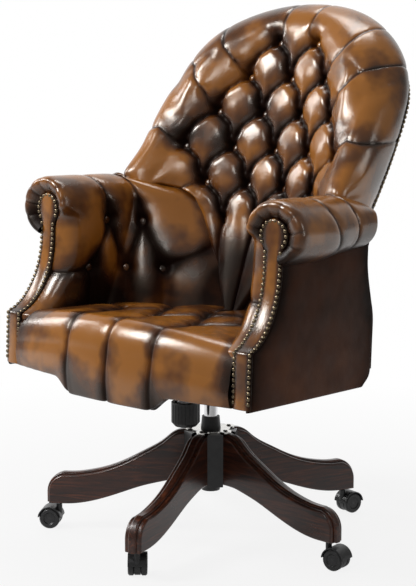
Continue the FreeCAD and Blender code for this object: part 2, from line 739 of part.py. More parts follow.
def lever_paddle():
    low = lever_z() - LEVER_DROP
    half = PADDLE_WIDTH / 2
    thick = PADDLE_THICK / 2
    paddle = box(LEVER_OUT_X - PADDLE_LENGTH, LEVER_OUT_X, -half, half, low - thick, low + thick)
    corners = [e for e in paddle.Edges if e.BoundBox.ZLength > thick]
    paddle = paddle.makeFillet(half / 2, corners)
    return paddle


# Seat board and rails
def arm_inner_x(y):
    middle = FACE_Y + FACE_SWEEP / 2
    return ARM_FRAME_IN_X - math.tan(math.radians(ARM_TOE)) * (y - middle) - 2 * SEAT_GAP


def seat_board():
    front = arm_inner_x(RAIL_FRONT_Y)
    side = arm_inner_x(BOARD_SIDE_Y)
    outline = [
        (-front, RAIL_FRONT_Y, BOARD_LOW_Z),
        (front, RAIL_FRONT_Y, BOARD_LOW_Z),
        (side, BOARD_SIDE_Y, BOARD_LOW_Z),
        (RAIL_HALF_W, RAIL_REAR_Y, BOARD_LOW_Z),
        (-RAIL_HALF_W, RAIL_REAR_Y, BOARD_LOW_Z),
        (-side, BOARD_SIDE_Y, BOARD_LOW_Z),
    ]
    board = polygon_prism(outline, V(0, 0, BOARD_THICK))
    holes = [post(PLATE_BOLT_R, BOARD_LOW_Z - 1, BOARD_LOW_Z + BOARD_THICK + 1, x, y)
             for x, y in plate_bolt_places()]
    return board.cut(group(holes))


def seat_frame():
    low = BOARD_LOW_Z + BOARD_THICK
    w = RAIL_HALF_W
    outer = box(-w, w, RAIL_FRONT_Y, RAIL_REAR_Y, low, low + RAIL_HEIGHT)
    inner = box(-w + RAIL_THICK, w - RAIL_THICK, RAIL_FRONT_Y + RAIL_THICK, RAIL_REAR_Y - RAIL_THICK,
                low - 1, low + RAIL_HEIGHT + 1)
    return outer.cut(inner)


# Seat pad, lofted across the seat through upright sections
def seat_low_z(x):
    t = (abs(x) - SEAT_DROP_HALF_W) / SEAT_DROP_SLOPE
    return pick(SEAT_DROP_Z, BOARD_LOW_Z, smooth(t))


def seat_pleat(x):
    return abs(math.cos(math.pi * x / SEAT_PITCH)) ** 3 if abs(x) < 1.6 * SEAT_PITCH else 0.0


def seat_front_y(x):
    return SEAT_FRONT_Y + SEAT_BOW * (x / SEAT_HALF_W) ** 2 + SEAT_PLEAT * seat_pleat(x)


def seat_crown_z(x, y):
    side = SEAT_SIDE_FALL * (x / SEAT_HALF_W) ** 2
    rear = smooth((y + SEAT_ROW_PITCH) / (2 * SEAT_ROW_PITCH))
    return SEAT_CROWN_Z - side - 0.5 * SEAT_SIDE_FALL * rear


def seat_valleys(x):
    phase = abs((x / SEAT_PITCH + 0.5) % 1.0 - 0.5) * 2
    middle = SEAT_ROW_Y + SEAT_ROW_PITCH
    last = SEAT_ROW_Y + 2 * SEAT_ROW_PITCH
    half = BUTTON_R
    front = pick(SEAT_ROW_Y - half, SEAT_ROW_Y - 0.6 * SEAT_ROW_PITCH, phase)
    second = pick(SEAT_ROW_Y + half, middle - half, phase)
    third = pick(last - half, middle + half, phase)
    fourth = pick(last + half, last + 0.7 * SEAT_ROW_PITCH, phase)
    inside = 1.0 if abs(x) < 1.7 * SEAT_PITCH else 0.3
    deep = max(abs(2 * phase - 1), 0.55) * SEAT_SINK * inside
    edge_deep = deep * (1 - 0.8 * phase)
    return [(front, edge_deep), (second, deep), (third, deep), (fourth, edge_deep)]


def seat_section(x):
    front = seat_front_y(x)
    low = seat_low_z(x)
    deck = BOARD_LOW_Z + BOARD_THICK + RAIL_HEIGHT + SEAT_GAP
    inner = RAIL_FRONT_Y - SEAT_GAP
    belly_z = pick(low, SEAT_CROWN_Z, 0.55)
    brow_y = front + SEAT_ROLL_R
    points = [(x, front + 0.3 * SEAT_ROLL_R, low), (x, front, pick(low, belly_z, 0.5)), (x, front, belly_z)]
    edges = [arc(points[0], (x, front + 2.0, pick(low, belly_z, 0.4)), points[2])]
    brow = (x, brow_y, seat_crown_z(x, brow_y) - 0.25 * SEAT_SINK)
    shoulder = (x, front + 0.3 * SEAT_ROLL_R, pick(belly_z, brow[2], 0.75))
    edges.append(arc(points[2], shoulder, brow))
    stops = [(y, seat_crown_z(x, y) - deep) for y, deep in seat_valleys(x)]
    stops.append((SEAT_REAR_Y, seat_crown_z(x, SEAT_REAR_Y) - 0.4 * SEAT_SINK))
    here = (brow[1], brow[2])
    for y, z in stops:
        middle = pick(here[0], y, 0.5)
        width = y - here[0]
        level = pick(here[1], z, 0.5)
        rise = min(seat_crown_z(x, middle) - level, 0.24 * width)
        edges.append(arc((x, here[0], here[1]), (x, middle, level + max(rise, 0.4)), (x, y, z)))
        here = (y, z)
    edges.append(edge((x, here[0], here[1]), (x, here[0], deck)))
    edges.append(edge((x, here[0], deck), (x, inner, deck)))
    edges.append(edge((x, inner, deck), (x, inner, low)))
    edges.append(edge((x, inner, low), points[0]))
    return Part.Wire(edges)


def arm_zone():
    zone = box(ARM_IN_X - SEAT_GAP, ARM_IN_X + 2 * ARM_ROLL_R, SEAT_EAR_REAR_Y, SEAT_REAR_Y + 2 * ARM_ROLL_R,
               FACE_LOW_Z - 1, SEAT_CROWN_Z + SEAT_SINK)
    zone = toed(zone)
    return zone.fuse(mirrored(zone))


def seat_button_places():
    places = []
    for row, counts in enumerate((3, 4, 3)):
        for k in range(counts):
            x = (k - (counts - 1) / 2) * SEAT_PITCH
            y = SEAT_ROW_Y + row * SEAT_ROW_PITCH
            places.append((x, y, seat_crown_z(x, y) - SEAT_SINK))
    return places


def seat_pad():
    step = SEAT_PITCH / 4
    count = int((SEAT_HALF_W - step / 2) / step)
    stations = [step * k for k in range(-count, count + 1)]
    stations = [-SEAT_HALF_W] + stations + [SEAT_HALF_W]
    pad = Part.makeLoft([seat_section(x) for x in stations], True, True)
    pad = pad.cut(arm_zone())
    wells = [post(BUTTON_WELL_R, z, z + 2 * SEAT_SINK, x, y) for x, y, z in seat_button_places()]
    return pad.cut(group(wells))


# Arms, built on the +X side before they are toed in
def face_y(z):
    t = clamp((z - FACE_SHOULDER_Z) / (FACE_SWEEP_TOP_Z - FACE_SHOULDER_Z))
    return FACE_Y + FACE_SWEEP * (1 - (1 - t) ** 2) ** 0.65


def face_line(setback):
    top = ARM_ROLL_Z + 2 * ARM_ROLL_R
    points = [(FACE_LOW_Z - 20.0, FACE_Y), (FACE_SHOULDER_Z, FACE_Y)]
    steps = 6
    sweep = []
    for k in range(steps + 1):
        z = pick(FACE_SHOULDER_Z, FACE_SWEEP_TOP_Z, (k / steps) ** 1.5)
        sweep.append(V(0, face_y(z) + setback, z))
    curve = Part.BSplineCurve()
    curve.interpolate(sweep)
    start = V(0, points[0][1] + setback, points[0][0])
    end = V(0, sweep[-1].y, top)
    return [Part.makeLine(start, sweep[0]), curve.toShape(), Part.makeLine(sweep[-1], end)], start, end


def front_space(setback):
    edges, start, end = face_line(setback)
    ahead = SEAT_FRONT_Y - 2 * ARM_ROLL_R
    high = V(0, ahead, end.z)
    low = V(0, ahead, start.z)
    edges += [Part.makeLine(end, high), Part.makeLine(high, low), Part.makeLine(low, start)]
    space = Part.Face(Part.Wire(edges)).extrude(V(4 * ARM_ROLL_R, 0, 0))
    return moved(space, ARM_X - 2 * ARM_ROLL_R, 0, 0)


def arm_facing():
    half = FACE_WIDTH / 2
    strip = box(ARM_X - half, ARM_X + half, FACE_Y - 1, FACE_Y + 2 * FACE_SWEEP, FACE_LOW_Z, FACE_SCROLL_Z)
    scroll = Part.makeCylinder(FACE_SCROLL_R, 2 * FACE_SWEEP, V(ARM_X, FACE_Y, FACE_SCROLL_Z), AXIS_Y)
    outline = strip.fuse(scroll).removeSplitter()
    band = front_space(FACE_THICK).cut(front_space(0.0))
    return outline.common(band)


def arm_frame():
    setback = FACE_THICK + SEAT_GAP
    board = box(ARM_FRAME_IN_X, ARM_FRAME_OUT_X, FACE_Y, ARM_END_Y, FACE_LOW_Z, ARM_FRAME_TOP_Z)
    return board.cut(front_space(setback))


def arm_under_z(y):
    r = arm_roll_radius(y)
    return roll_centre_z(y) - r * math.sin(math.radians(60))


def side_outline():
    kick = V(0, ARM_REAR_Y, ARM_KICK_Z)
    waist = V(0, ARM_WAIST_Y, ARM_WAIST_Z)
    turn_in = V(0, pick(ARM_REAR_Y, ARM_WAIST_Y, 0.6), pick(ARM_KICK_Z, ARM_WAIST_Z, 0.5))
    level = FACE_Y + 2 * FACE_SWEEP
    steps = 5
    top = [V(0, FACE_Y, arm_under_z(level) - PANEL_GAP)]
    for k in range(steps + 1):
        y = pick(level, ARM_END_Y - ARM_MOUTH, k / steps)
        top.append(V(0, y, arm_under_z(y) - PANEL_GAP))
    top.append(V(0, ARM_WAIST_Y, top[-1].z))
    front_low = V(0, FACE_Y, FACE_LOW_Z)
    rear_low = V(0, ARM_REAR_Y, FACE_LOW_Z)
    edges = [Part.makeLine(front_low, top[0])]
    edges += [Part.makeLine(a, b) for a, b in zip(top, top[1:])]
    edges.append(Part.makeLine(top[-1], waist))
    edges.append(Part.Arc(waist, turn_in, kick).toShape())
    return edges + [Part.makeLine(kick, rear_low), Part.makeLine(rear_low, front_low)]


def outside_arm():
    setback = FACE_THICK + SEAT_GAP
    panel = Part.Face(Part.Wire(side_outline())).extrude(V(ARM_SKIN, 0, 0))
    panel = moved(panel, ARM_FRAME_OUT_X + SEAT_GAP, 0, 0)
    return panel.cut(front_space(setback))


def arm_roll_radius(y):
    front = FACE_Y + FACE_SWEEP + FACE_THICK
    mouth = pick(FACE_SCROLL_R, ARM_ROLL_R, 0.75)
    level = FACE_Y + 2 * FACE_SWEEP
    taper = (ARM_ROLL_R - ARM_ROLL_REAR_R) * smooth((y - level) / (ARM_END_Y - level))
    end = 1 - clamp((y - ARM_END_Y + ARM_MOUTH) / ARM_MOUTH) ** 2
    closing = pick(0.6, 1.0, math.sqrt(end))
    return (pick(mouth, ARM_ROLL_R, clamp((y - front) / ARM_MOUTH) ** 0.4) - taper) * closing


def roll_centre_z(y):
    level = FACE_Y + 2 * FACE_SWEEP
    reach = smooth((y - level) / (ARM_END_Y - level))
    return ARM_ROLL_Z + (ARM_ROLL_R - ARM_ROLL_REAR_R) * reach


def arm_button_places():
    low_first = ARM_BUTTON_FIRST_Y
    high_first = ARM_BUTTON_FIRST_Y + ARM_BUTTON_PITCH / 2
    places = []
    for k in range(2):
        places.append((low_first + k * ARM_BUTTON_PITCH, ARM_BUTTON_LOW_Z))
        places.append((high_first + k * ARM_BUTTON_PITCH, ARM_BUTTON_HIGH_Z))
    return places


def arm_valley(y):
    phase = (y - ARM_BUTTON_FIRST_Y) / ARM_BUTTON_PITCH
    swing = (1 - math.cos(2 * math.pi * phase)) / 2
    z = pick(ARM_BUTTON_LOW_Z, ARM_BUTTON_HIGH_Z, swing)
    ahead = clamp((y - FACE_Y - FACE_SWEEP - FACE_THICK) / 30.0)
    deep = ARM_BUTTON_SINK * max(abs(2 * swing - 1), 0.5) * ahead
    return z, ARM_IN_X + deep


def arm_section(y):
    r = arm_roll_radius(y)
    roll_z = roll_centre_z(y)
    sine = r * math.sin(math.radians(45))
    under_x = ARM_X + r * math.cos(math.radians(60))
    under_z = arm_under_z(y)
    valley_z, valley_x = arm_valley(y)
    low_z = SEAT_CROWN_Z
    inner = (ARM_X - r, y, roll_z)
    valley = (valley_x, y, valley_z)
    foot = (ARM_IN_X, y, low_z)
    crest_low = (ARM_IN_X - ARM_SWELL, y, pick(low_z, valley_z, 0.5))
    crest_x = pick(valley_x, inner[0], 0.5) - 0.8 * ARM_SWELL
    crest_high = (crest_x, y, pick(valley_z, roll_z, 0.5))
    top = (ARM_X, y, roll_z + r)
    outer = (ARM_X + r, y, roll_z)
    under = (under_x, y, under_z)
    groove_in = ARM_FRAME_IN_X - SEAT_GAP
    groove_out = ARM_FRAME_OUT_X + SEAT_GAP
    groove_top = ARM_FRAME_TOP_Z + SEAT_GAP
    side_x = ARM_X + r * math.cos(math.radians(30))
    side_z = roll_z - r * math.sin(math.radians(30))
    edges = [
        edge((ARM_IN_X, y, ARM_LOW_Z), foot),
        arc(foot, crest_low, valley),
        arc(valley, crest_high, inner),
        arc(inner, (ARM_X - sine, y, roll_z + sine), top),
        arc(top, (ARM_X + sine, y, roll_z + sine), outer),
        arc(outer, (side_x, y, side_z), under),
        edge(under, (groove_out, y, under_z)),
        edge((groove_out, y, under_z), (groove_out, y, groove_top)),
        edge((groove_out, y, groove_top), (groove_in, y, groove_top)),
        edge((groove_in, y, groove_top), (groove_in, y, ARM_LOW_Z)),
        edge((groove_in, y, ARM_LOW_Z), (ARM_IN_X, y, ARM_LOW_Z)),
    ]
    return Part.Wire(edges)


def arm_pad():
    front = FACE_Y + FACE_SWEEP + FACE_THICK
    step = ARM_BUTTON_PITCH / 4
    stations = [FACE_Y, front + SEAT_GAP, front + 0.25 * ARM_MOUTH, front + ARM_MOUTH, front + 2 * ARM_MOUTH]
    y = ARM_BUTTON_FIRST_Y
    while y < ARM_END_Y - ARM_MOUTH - step / 2:
        if y > stations[-1] + step / 3:
            stations.append(y)
        y += step
    stations += [ARM_END_Y - ARM_MOUTH, ARM_END_Y - 0.4 * ARM_MOUTH, ARM_END_Y]
    pad = Part.makeLoft([arm_section(y) for y in stations], True, True)
    pad = pad.cut(front_space(FACE_THICK + SEAT_GAP))
    wells = []
    for y, z in arm_button_places():
        floor_x = ARM_IN_X + ARM_BUTTON_SINK
        wells.append(bar(BUTTON_WELL_R, (floor_x, y, z), (floor_x - 3 * ARM_BUTTON_SINK, y, z)))
    return pad.cut(group(wells))


# Back, lofted upwards through level sections
def back_width(z, side_inset, top_inset):
    if z < BACK_WAIST_Z:
        return BACK_WAIST_W - side_inset
    if z < BACK_SHOULDER_Z:
        t = (z - BACK_WAIST_Z) / (BACK_SHOULDER_Z - BACK_WAIST_Z)
        return pick(BACK_WAIST_W, BACK_SHOULDER_W, math.sin(math.pi / 2 * t)) - side_inset
    t = clamp((z - BACK_SHOULDER_Z) / (BACK_TOP_Z - top_inset - BACK_SHOULDER_Z))
    return (BACK_SHOULDER_W - side_inset) * (1 - t ** 2.1) ** (1 / 2.1)


def back_edge_y(z):
    leaning = BACK_EDGE_Y + BACK_EDGE_LEAN * (z - BACK_REF_Z)
    if z < TUB_NECK_Z:
        return pick(TUB_EDGE_Y, TUB_NECK_EDGE_Y, smooth((z - TUB_Z) / (TUB_NECK_Z - TUB_Z)))
    return pick(TUB_NECK_EDGE_Y, leaning, smooth((z - TUB_NECK_Z) / (TUB_SHOULDER_Z - TUB_NECK_Z)))


def tub_width(z, upper):
    low = pick(TUB_W, TUB_NECK_W, smooth((z - TUB_Z) / (TUB_NECK_Z - TUB_Z)))
    return pick(low, upper, smooth((z - TUB_NECK_Z) / (TUB_SHOULDER_Z - TUB_NECK_Z)))


def back_rear_y(x, z):
    return back_edge_y(z) + BACK_SAG * (1 - (x / BACK_SHOULDER_W) ** 2)


def back_button_y(x, z):
    return BACK_BUTTON_Y + BACK_LEAN * (z - BACK_REF_Z) - BACK_HOLLOW * (x / HOLLOW_X) ** 2


def back_crown_y(x, z):
    return back_button_y(x, z) - BACK_SINK


def wing_y(z):
    leaning = WING_SLOPE * (z - WING_LEVEL_Z)
    if z > WING_LOW_Z + WING_STEP:
        return min(WING_BACK, leaning)
    forward = WING_SLOPE * (WING_LOW_Z + WING_STEP - WING_LEVEL_Z)
    return pick(WING_LOW_BACK, forward, smooth((z - WING_LOW_Z) / WING_STEP))


def wing_flare(z):
    below = 1 - smooth((z - WING_LOW_Z - WING_STEP) / WING_FLARE_REACH)
    return WING_FLARE * below * smooth((z - WING_LOW_Z) / WING_STEP)


def roll_turn(z):
    t = clamp((z - BACK_TOP_Z + BACK_ROLL_R) / BACK_ROLL_R)
    return 1 - math.sqrt(1 - t * t)


def back_front_y(x, z):
    return back_crown_y(x, z) + BACK_ROLL_R * roll_turn(z)


def back_row_z(row):
    return BACK_ROW_TOP_Z - row * BACK_ROW_PITCH


def has_button(row, place):
    if row < 0 or row >= len(BACK_ROW_COUNTS):
        return 0.0
    reach = (BACK_ROW_COUNTS[row] - 1) / 2
    return 1.0 if abs(place) < reach + 0.25 else 0.0


def back_places(row):
    near = BUTTON_R / BACK_PITCH
    if BACK_ROW_COUNTS[row] % 2:
        middles = (-2, -1, 0, 1, 2)
        return [m + side * near for m in middles for side in (-1, 1)]
    middles = (-1.5, -0.5, 0.5, 1.5)
    return [-2.5] + [m + side * near for m in middles for side in (-1, 1)] + [2.5]


def back_valleys(row, half):
    here = back_places(row)
    depth = [has_button(row, place) for place in here]
    if half:
        there = back_places(row + 1)
        depth = [0.5 * min(d, has_button(row + 1, place)) for d, place in zip(depth, there)]
        here = [pick(a, b, 0.5) for a, b in zip(here, there)]
    return [(place * BACK_PITCH, d * BACK_SINK) for place, d in zip(here, depth)]


def squeezed(x, limit, edge_x):
    if abs(x) <= limit:
        return x
    over = (abs(x) - limit) / BACK_PITCH
    return math.copysign(limit + 0.55 * (edge_x - limit) * (1 - math.exp(-over)), x)


def edge_share(x, limit, edge_x):
    return smooth(edge_x / HOLLOW_X) * clamp((abs(x) - limit) / (edge_x - limit))


def back_section(z, valleys):
    width = back_width(z, 0.0, 0.0)
    nail_x = max(width - BACK_NAIL_INSET, 0.9 * width)
    limit = max(width - 1.3 * BACK_ROLL_R, 0.4 * width)
    turn = roll_turn(z)
    edge_y = back_rear_y(nail_x, z) - 0.6 * BACK_ROLL_R * turn
    rear_y = back_rear_y(0.0, z) - 0.6 * BACK_ROLL_R * turn
    flare = wing_flare(z)
    crest_x = width + 0.7 * flare - 0.36 * min(BACK_ROLL_R, 0.6 * width)
    crest_y = back_front_y(crest_x, z) + wing_y(z) * smooth(crest_x / HOLLOW_X)
    stops = [(squeezed(x, limit, crest_x), deep * (1 - turn)) for x, deep in valleys]
    stops = [(x, back_front_y(x, z) + deep + wing_y(z) * edge_share(x, limit, crest_x)) for x, deep in stops]
    side_y = pick(edge_y, crest_y, 0.45)
    edges = [arc((-nail_x, edge_y, z), (-width - flare, side_y, z), (-crest_x, crest_y, z))]
    here = (-crest_x, crest_y)
    for x, y in stops + [(crest_x, crest_y)]:
        middle = pick(here[0], x, 0.5)
        level = pick(here[1], y, 0.5)
        aim = back_front_y(middle, z) + wing_y(z) * edge_share(middle, limit, crest_x)
        puff = min(level - aim, 0.36 * (x - here[0]))
        edges.append(arc((here[0], here[1], z), (middle, level - max(puff, 0.3), z), (x, y, z)))
        here = (x, y)
    edges.append(arc((crest_x, crest_y, z), (width + flare, side_y, z), (nail_x, edge_y, z)))
    edges.append(arc((nail_x, edge_y, z), (0, rear_y, z), (-nail_x, edge_y, z)))
    return Part.Wire(edges)


def back_layer(side_inset, top_inset, front, rear, low, high, levels, tub=False):
    wires = []
    for k in range(levels + 1):
        z = pick(low, high, math.sin(math.pi / 2 * k / levels))
        w = back_width(z, side_inset, top_inset)
        if tub:
            w = tub_width(z, w)
        edges = []
        for setback in (front, rear):
            edges.append([(-w, back_rear_y(w, z) - setback, z), (0, back_rear_y(0, z) - setback, z),
                          (w, back_rear_y(w, z) - setback, z)])
        ahead, behind = edges
        sides = [edge(ahead[2], behind[2]), edge(behind[0], ahead[0])]
        wires.append(Part.Wire([arc(*ahead), sides[0], arc(*behind[::-1]), sides[1]]))
    return Part.makeLoft(wires, True, True)


def outside_layer(front, rear):
    high = BACK_TOP_Z - OUTSIDE_TOP_INSET - 1.0
    return back_layer(BACK_NAIL_INSET, OUTSIDE_TOP_INSET, front, rear, FACE_LOW_Z, high, 22, True)


def outside_back():
    return outside_layer(-SEAT_GAP, -SEAT_GAP - OUTSIDE_THICK)


def frame_layer(gap, front, rear):
    low = BOARD_LOW_Z + BOARD_THICK + RAIL_HEIGHT
    high = BACK_TOP_Z - FRAME_TOP_INSET - 2.0
    return back_layer(FRAME_INSET - gap, FRAME_TOP_INSET - gap, front, rear, low, high + gap, 14)


def back_frame():
    low = BOARD_LOW_Z + BOARD_THICK + RAIL_HEIGHT
    board = frame_layer(0.0, FRAME_THICK + FRAME_SETBACK, FRAME_SETBACK)
    window_top = BACK_TOP_Z - FRAME_TOP_INSET - 2.0 - FRAME_MEMBER
    window = back_layer(FRAME_INSET + FRAME_MEMBER, FRAME_TOP_INSET + FRAME_MEMBER, 3 * FRAME_THICK,
                        -FRAME_THICK, low + FRAME_MEMBER, window_top, 8)
    return board.cut(window).cut(outside_layer(FRAME_SETBACK, -2 * FRAME_THICK))


def back_button_places():
    places = []
    for row, count in enumerate(BACK_ROW_COUNTS):
        for k in range(count):
            x = (k - (count - 1) / 2) * BACK_PITCH
            z = back_row_z(row)
            places.append((x, back_button_y(x, z), z))
    return places


def back_pad():
    last = len(BACK_ROW_COUNTS) - 1
    flat = [(x, 0.0) for x, deep in back_valleys(last, False)]
    sections = [back_section(BACK_LOW_Z, flat), back_section(pick(BACK_LOW_Z, back_row_z(last), 0.6), flat)]
    for row in range(last, -1, -1):
        sections.append(back_section(back_row_z(row), back_valleys(row, False)))
        if row > 0:
            z = pick(back_row_z(row), back_row_z(row - 1), 0.5)
            sections.append(back_section(z, back_valleys(row - 1, True)))
    smooth_top = [(x, 0.0) for x, deep in back_valleys(0, False)]
    for share in (0.42, 0.72, 0.9, 0.98):
        sections.append(back_section(pick(BACK_ROW_TOP_Z, BACK_TOP_Z, share), smooth_top))
    pad = Part.makeLoft(sections, True, True)
    pad = pad.cut(outside_layer(PAD_CUT, -2 * FRAME_THICK))
    pad = pad.cut(frame_layer(2 * SEAT_GAP, FRAME_THICK + FRAME_SETBACK + 2 * SEAT_GAP, -FRAME_THICK))
    arm_end = box(ARM_IN_X - 3 * ARM_SWELL, ARM_X + 2 * ARM_ROLL_R, FACE_Y, ARM_END_Y + SEAT_GAP,
                  ARM_LOW_Z, ARM_ROLL_Z + ARM_ROLL_R + 2.0)
    arm_end = toed(arm_end)
    pad = pad.cut(arm_end.fuse(mirrored(arm_end)))
    wells = [bar(BUTTON_WELL_R, (x, y, z), (x, y - 3 * BACK_SINK, z)) for x, y, z in back_button_places()]
    return pad.cut(group(wells))


# Buttons: one leather-covered dome, placed at every tuft
def button(place, direction):
    profile = [(0, 0, 0), (BUTTON_R, 0, 0), (BUTTON_R, 0, 0.4 * BUTTON_H),
               (0.55 * BUTTON_R, 0, 0.88 * BUTTON_H), (0, 0, BUTTON_H)]
    dome = revolved(profile)
    dome.Placement = FreeCAD.Placement(V(*place), FreeCAD.Rotation(AXIS_Z, V(*direction)))
    return dome


def upholstery_buttons():
    buttons = [button(place, (0, -1, 0)) for place in back_button_places()]
    buttons += [button(place, (0, 0, 1)) for place in seat_button_places()]
    for y, z in arm_button_places():
        dome = toed(button((ARM_IN_X + ARM_BUTTON_SINK, y, z), (-1, 0, 0)))
        buttons += [dome, mirrored(dome)]
    return group([raked(dome) for dome in buttons])


# Every piece by name
def build():
    os.makedirs("parts", exist_ok=True)
    one_leg = leg()
    for number, angle in enumerate(leg_angles(), 1):
        save(turned(one_leg, angle), "leg_%d" % number)
    for make in (hub_core, hub_top_plate, leg_screws, castor_sockets, castor_stems,
                 gas_lift_tube, gas_lift_bush, thrust_bearing, gas_lift_rod, lift_clip,
                 gas_lift_piston, release_pin, mechanism_housing, tilt_pin, tilt_plate,
                 plate_bolts, tension_bolt, tension_knob, tension_spring, lift_lever,
                 lever_paddle, upholstery_buttons):
        save(make(), make.__name__)
    castor = {"hood": castor_hood(), "axle": castor_axle()}
    castor["wheel_left"] = castor_wheel(1)
    castor["wheel_right"] = castor_wheel(-1)
    for number, (x, y, yaw) in enumerate(castor_places(), 1):
        for name, shape in castor.items():
            save(moved(turned(shape, yaw), x, y, 0), "castor_%d_%s" % (number, name))
    for make in (seat_board, seat_frame, seat_pad, back_frame, back_pad, outside_back):
        save(raked(make()), make.__name__)
    for make in (arm_pad, outside_arm, arm_facing):
        left = toed(make())
        save(raked(left), make.__name__ + "_left")
        save(raked(mirrored(left)), make.__name__ + "_right")
    frame = toed(arm_frame())
    save(group([raked(frame), raked(mirrored(frame))]), "arm_frames")


build()
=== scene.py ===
# %% [markdown]
# # A deep-buttoned director's swivel chair
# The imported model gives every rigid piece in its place. This lesson dresses it: the leather is
# modelled fold by fold, puffed up with a short cloth simulation, and trimmed with buttons and nails.
# Lengths in the shape formulas are millimetres, as on a workshop drawing, and become metres once.

# %% Load the frame
import json
import math
import bpy
import numpy as np
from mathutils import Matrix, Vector


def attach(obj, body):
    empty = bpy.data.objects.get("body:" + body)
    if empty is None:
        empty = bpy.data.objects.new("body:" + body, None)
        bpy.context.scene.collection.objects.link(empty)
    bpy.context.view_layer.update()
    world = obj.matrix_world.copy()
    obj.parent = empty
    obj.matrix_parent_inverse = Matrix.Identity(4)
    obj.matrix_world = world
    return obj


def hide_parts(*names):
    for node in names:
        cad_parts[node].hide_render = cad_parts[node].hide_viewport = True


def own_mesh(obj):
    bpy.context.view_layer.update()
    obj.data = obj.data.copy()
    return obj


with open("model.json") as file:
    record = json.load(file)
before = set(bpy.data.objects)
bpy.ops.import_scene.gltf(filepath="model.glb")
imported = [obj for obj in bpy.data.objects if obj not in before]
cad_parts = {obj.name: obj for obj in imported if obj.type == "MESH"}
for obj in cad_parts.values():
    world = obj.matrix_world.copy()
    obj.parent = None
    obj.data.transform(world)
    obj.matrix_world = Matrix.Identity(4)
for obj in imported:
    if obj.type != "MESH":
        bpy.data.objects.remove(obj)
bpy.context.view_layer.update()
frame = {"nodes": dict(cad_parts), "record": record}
nodes = frame["nodes"]

# %% [markdown]
# ## Camera
# A product photo is taken from far off with a long lens, so the chair's lines stay almost parallel.
# The place, tilt and lens here were worked out from the castors' floor points and the mirrored arms.

# %% Camera
CAMERA_PLACE = (2.446, -2.709, 1.136)
CAMERA_LENS = 112.0
SENSOR_WIDTH = 36.0
CAMERA_TILT = math.radians(90 - 9.79)
CAMERA_TURN = math.radians(42.17)

bpy.ops.object.select_all(action="DESELECT")
bpy.ops.object.camera_add(location=CAMERA_PLACE, rotation=(CAMERA_TILT, 0, CAMERA_TURN))
camera = bpy.context.active_object
camera.data.lens = CAMERA_LENS
camera.data.sensor_width = SENSOR_WIDTH
bpy.context.scene.camera = camera
print("camera at", CAMERA_PLACE)

# %% [markdown]
# ## Studio
# Polished leather shows what stands around it: one large bright soft box on the sitter's right, four
# weaker ones around it and a dim room. The backdrop reads as white to the camera, and in reflections
# only where it stands, behind the chair, so that the dark folds aren't veiled.

# %% Node helpers
scene = bpy.context.scene
scene.view_settings.view_transform = "Standard"


def add(tree, kind, **values):
    """A new node; each value goes to the node's own setting, or else to its input of that name."""
    node = tree.nodes.new(kind)
    for name, value in values.items():
        if hasattr(node, name):
            setattr(node, name, value)
        else:
            node.inputs[name.replace("_", " ")].default_value = value
    return node


def combined(tree, operation, one, other):
    """The clamped sum or product of two values."""
    node = add(tree, "ShaderNodeMath", operation=operation, use_clamp=True)
    tree.links.new(one, node.inputs[0])
    tree.links.new(other, node.inputs[1])
    return node.outputs[0]


def backdrop_mask(tree, place, low, high):
    """1 for the camera, and for mirror rays that go behind the chair."""
    along = add(tree, "ShaderNodeVectorMath", operation="DOT_PRODUCT")
    along.inputs[1].default_value = (-math.sin(CAMERA_TURN), math.cos(CAMERA_TURN), 0)
    tree.links.new(place, along.inputs[0])
    behind = add(tree, "ShaderNodeMapRange", From_Min=low, From_Max=high)
    tree.links.new(along.outputs["Value"], behind.inputs["Value"])
    rays = add(tree, "ShaderNodeLightPath")
    mirrored = combined(tree, "ADD", rays.outputs["Is Glossy Ray"], rays.outputs["Is Transmission Ray"])
    mirrored = combined(tree, "MULTIPLY", mirrored, behind.outputs[0])
    return combined(tree, "ADD", rays.outputs["Is Camera Ray"], mirrored)


def mix_shaders(tree, share, plain, bright, output):
    mixed = add(tree, "ShaderNodeMixShader")
    tree.links.new(share, mixed.inputs[0])
    tree.links.new(plain.outputs[0], mixed.inputs[1])
    tree.links.new(bright.outputs[0], mixed.inputs[2])
    tree.links.new(mixed.outputs[0], tree.nodes[output].inputs[0])


print("node helpers ready")

# %% Room and soft boxes
ROOM_TINT = (1.0, 0.98, 0.95, 1)
ROOM_LIGHT = 0.24


def pale_room():
    world = bpy.data.worlds.new("pale_room")
    world.use_nodes = True
    tree = world.node_tree
    room = tree.nodes["Background"]
    room.inputs["Color"].default_value = ROOM_TINT
    room.inputs["Strength"].default_value = ROOM_LIGHT
    backdrop = add(tree, "ShaderNodeBackground", Color=(1, 1, 1, 1), Strength=1.0)
    way = add(tree, "ShaderNodeTexCoord").outputs["Generated"]
    mix_shaders(tree, backdrop_mask(tree, way, 0.45, 0.75), room, backdrop, "World Output")
    return world


def soft_box(name, place, aim, size, watts):
    bpy.ops.object.light_add(type="AREA", location=place)
    lamp = bpy.context.active_object
    lamp.name = name
    lamp.data.shape = "RECTANGLE"
    lamp.data.size = size[0]
    lamp.data.size_y = size[1]
    lamp.data.energy = watts
    towards = np.array(aim) - np.array(place)
    lamp.rotation_euler = (math.atan2(math.hypot(towards[0], towards[1]), -towards[2]), 0,
                           math.atan2(-towards[0], towards[1]))


scene.world = pale_room()
soft_box("key_box", (-1.7, -2.2, 2.7), (0, 0, 0.7), (0.8, 1.15), 80)
soft_box("left_box", (-2.9, -0.8, 1.9), (0, 0, 0.8), (0.5, 1.2), 26)
soft_box("front_box", (0.7, -2.6, 2.6), (0, 0, 0.6), (0.5, 1.0), 16)
soft_box("side_box", (2.6, 0.5, 1.5), (0, 0, 0.5), (0.3, 1.2), 6)
soft_box("top_box", (-0.6, 0.9, 2.9), (0, 0, 0.6), (1.2, 0.5), 16)

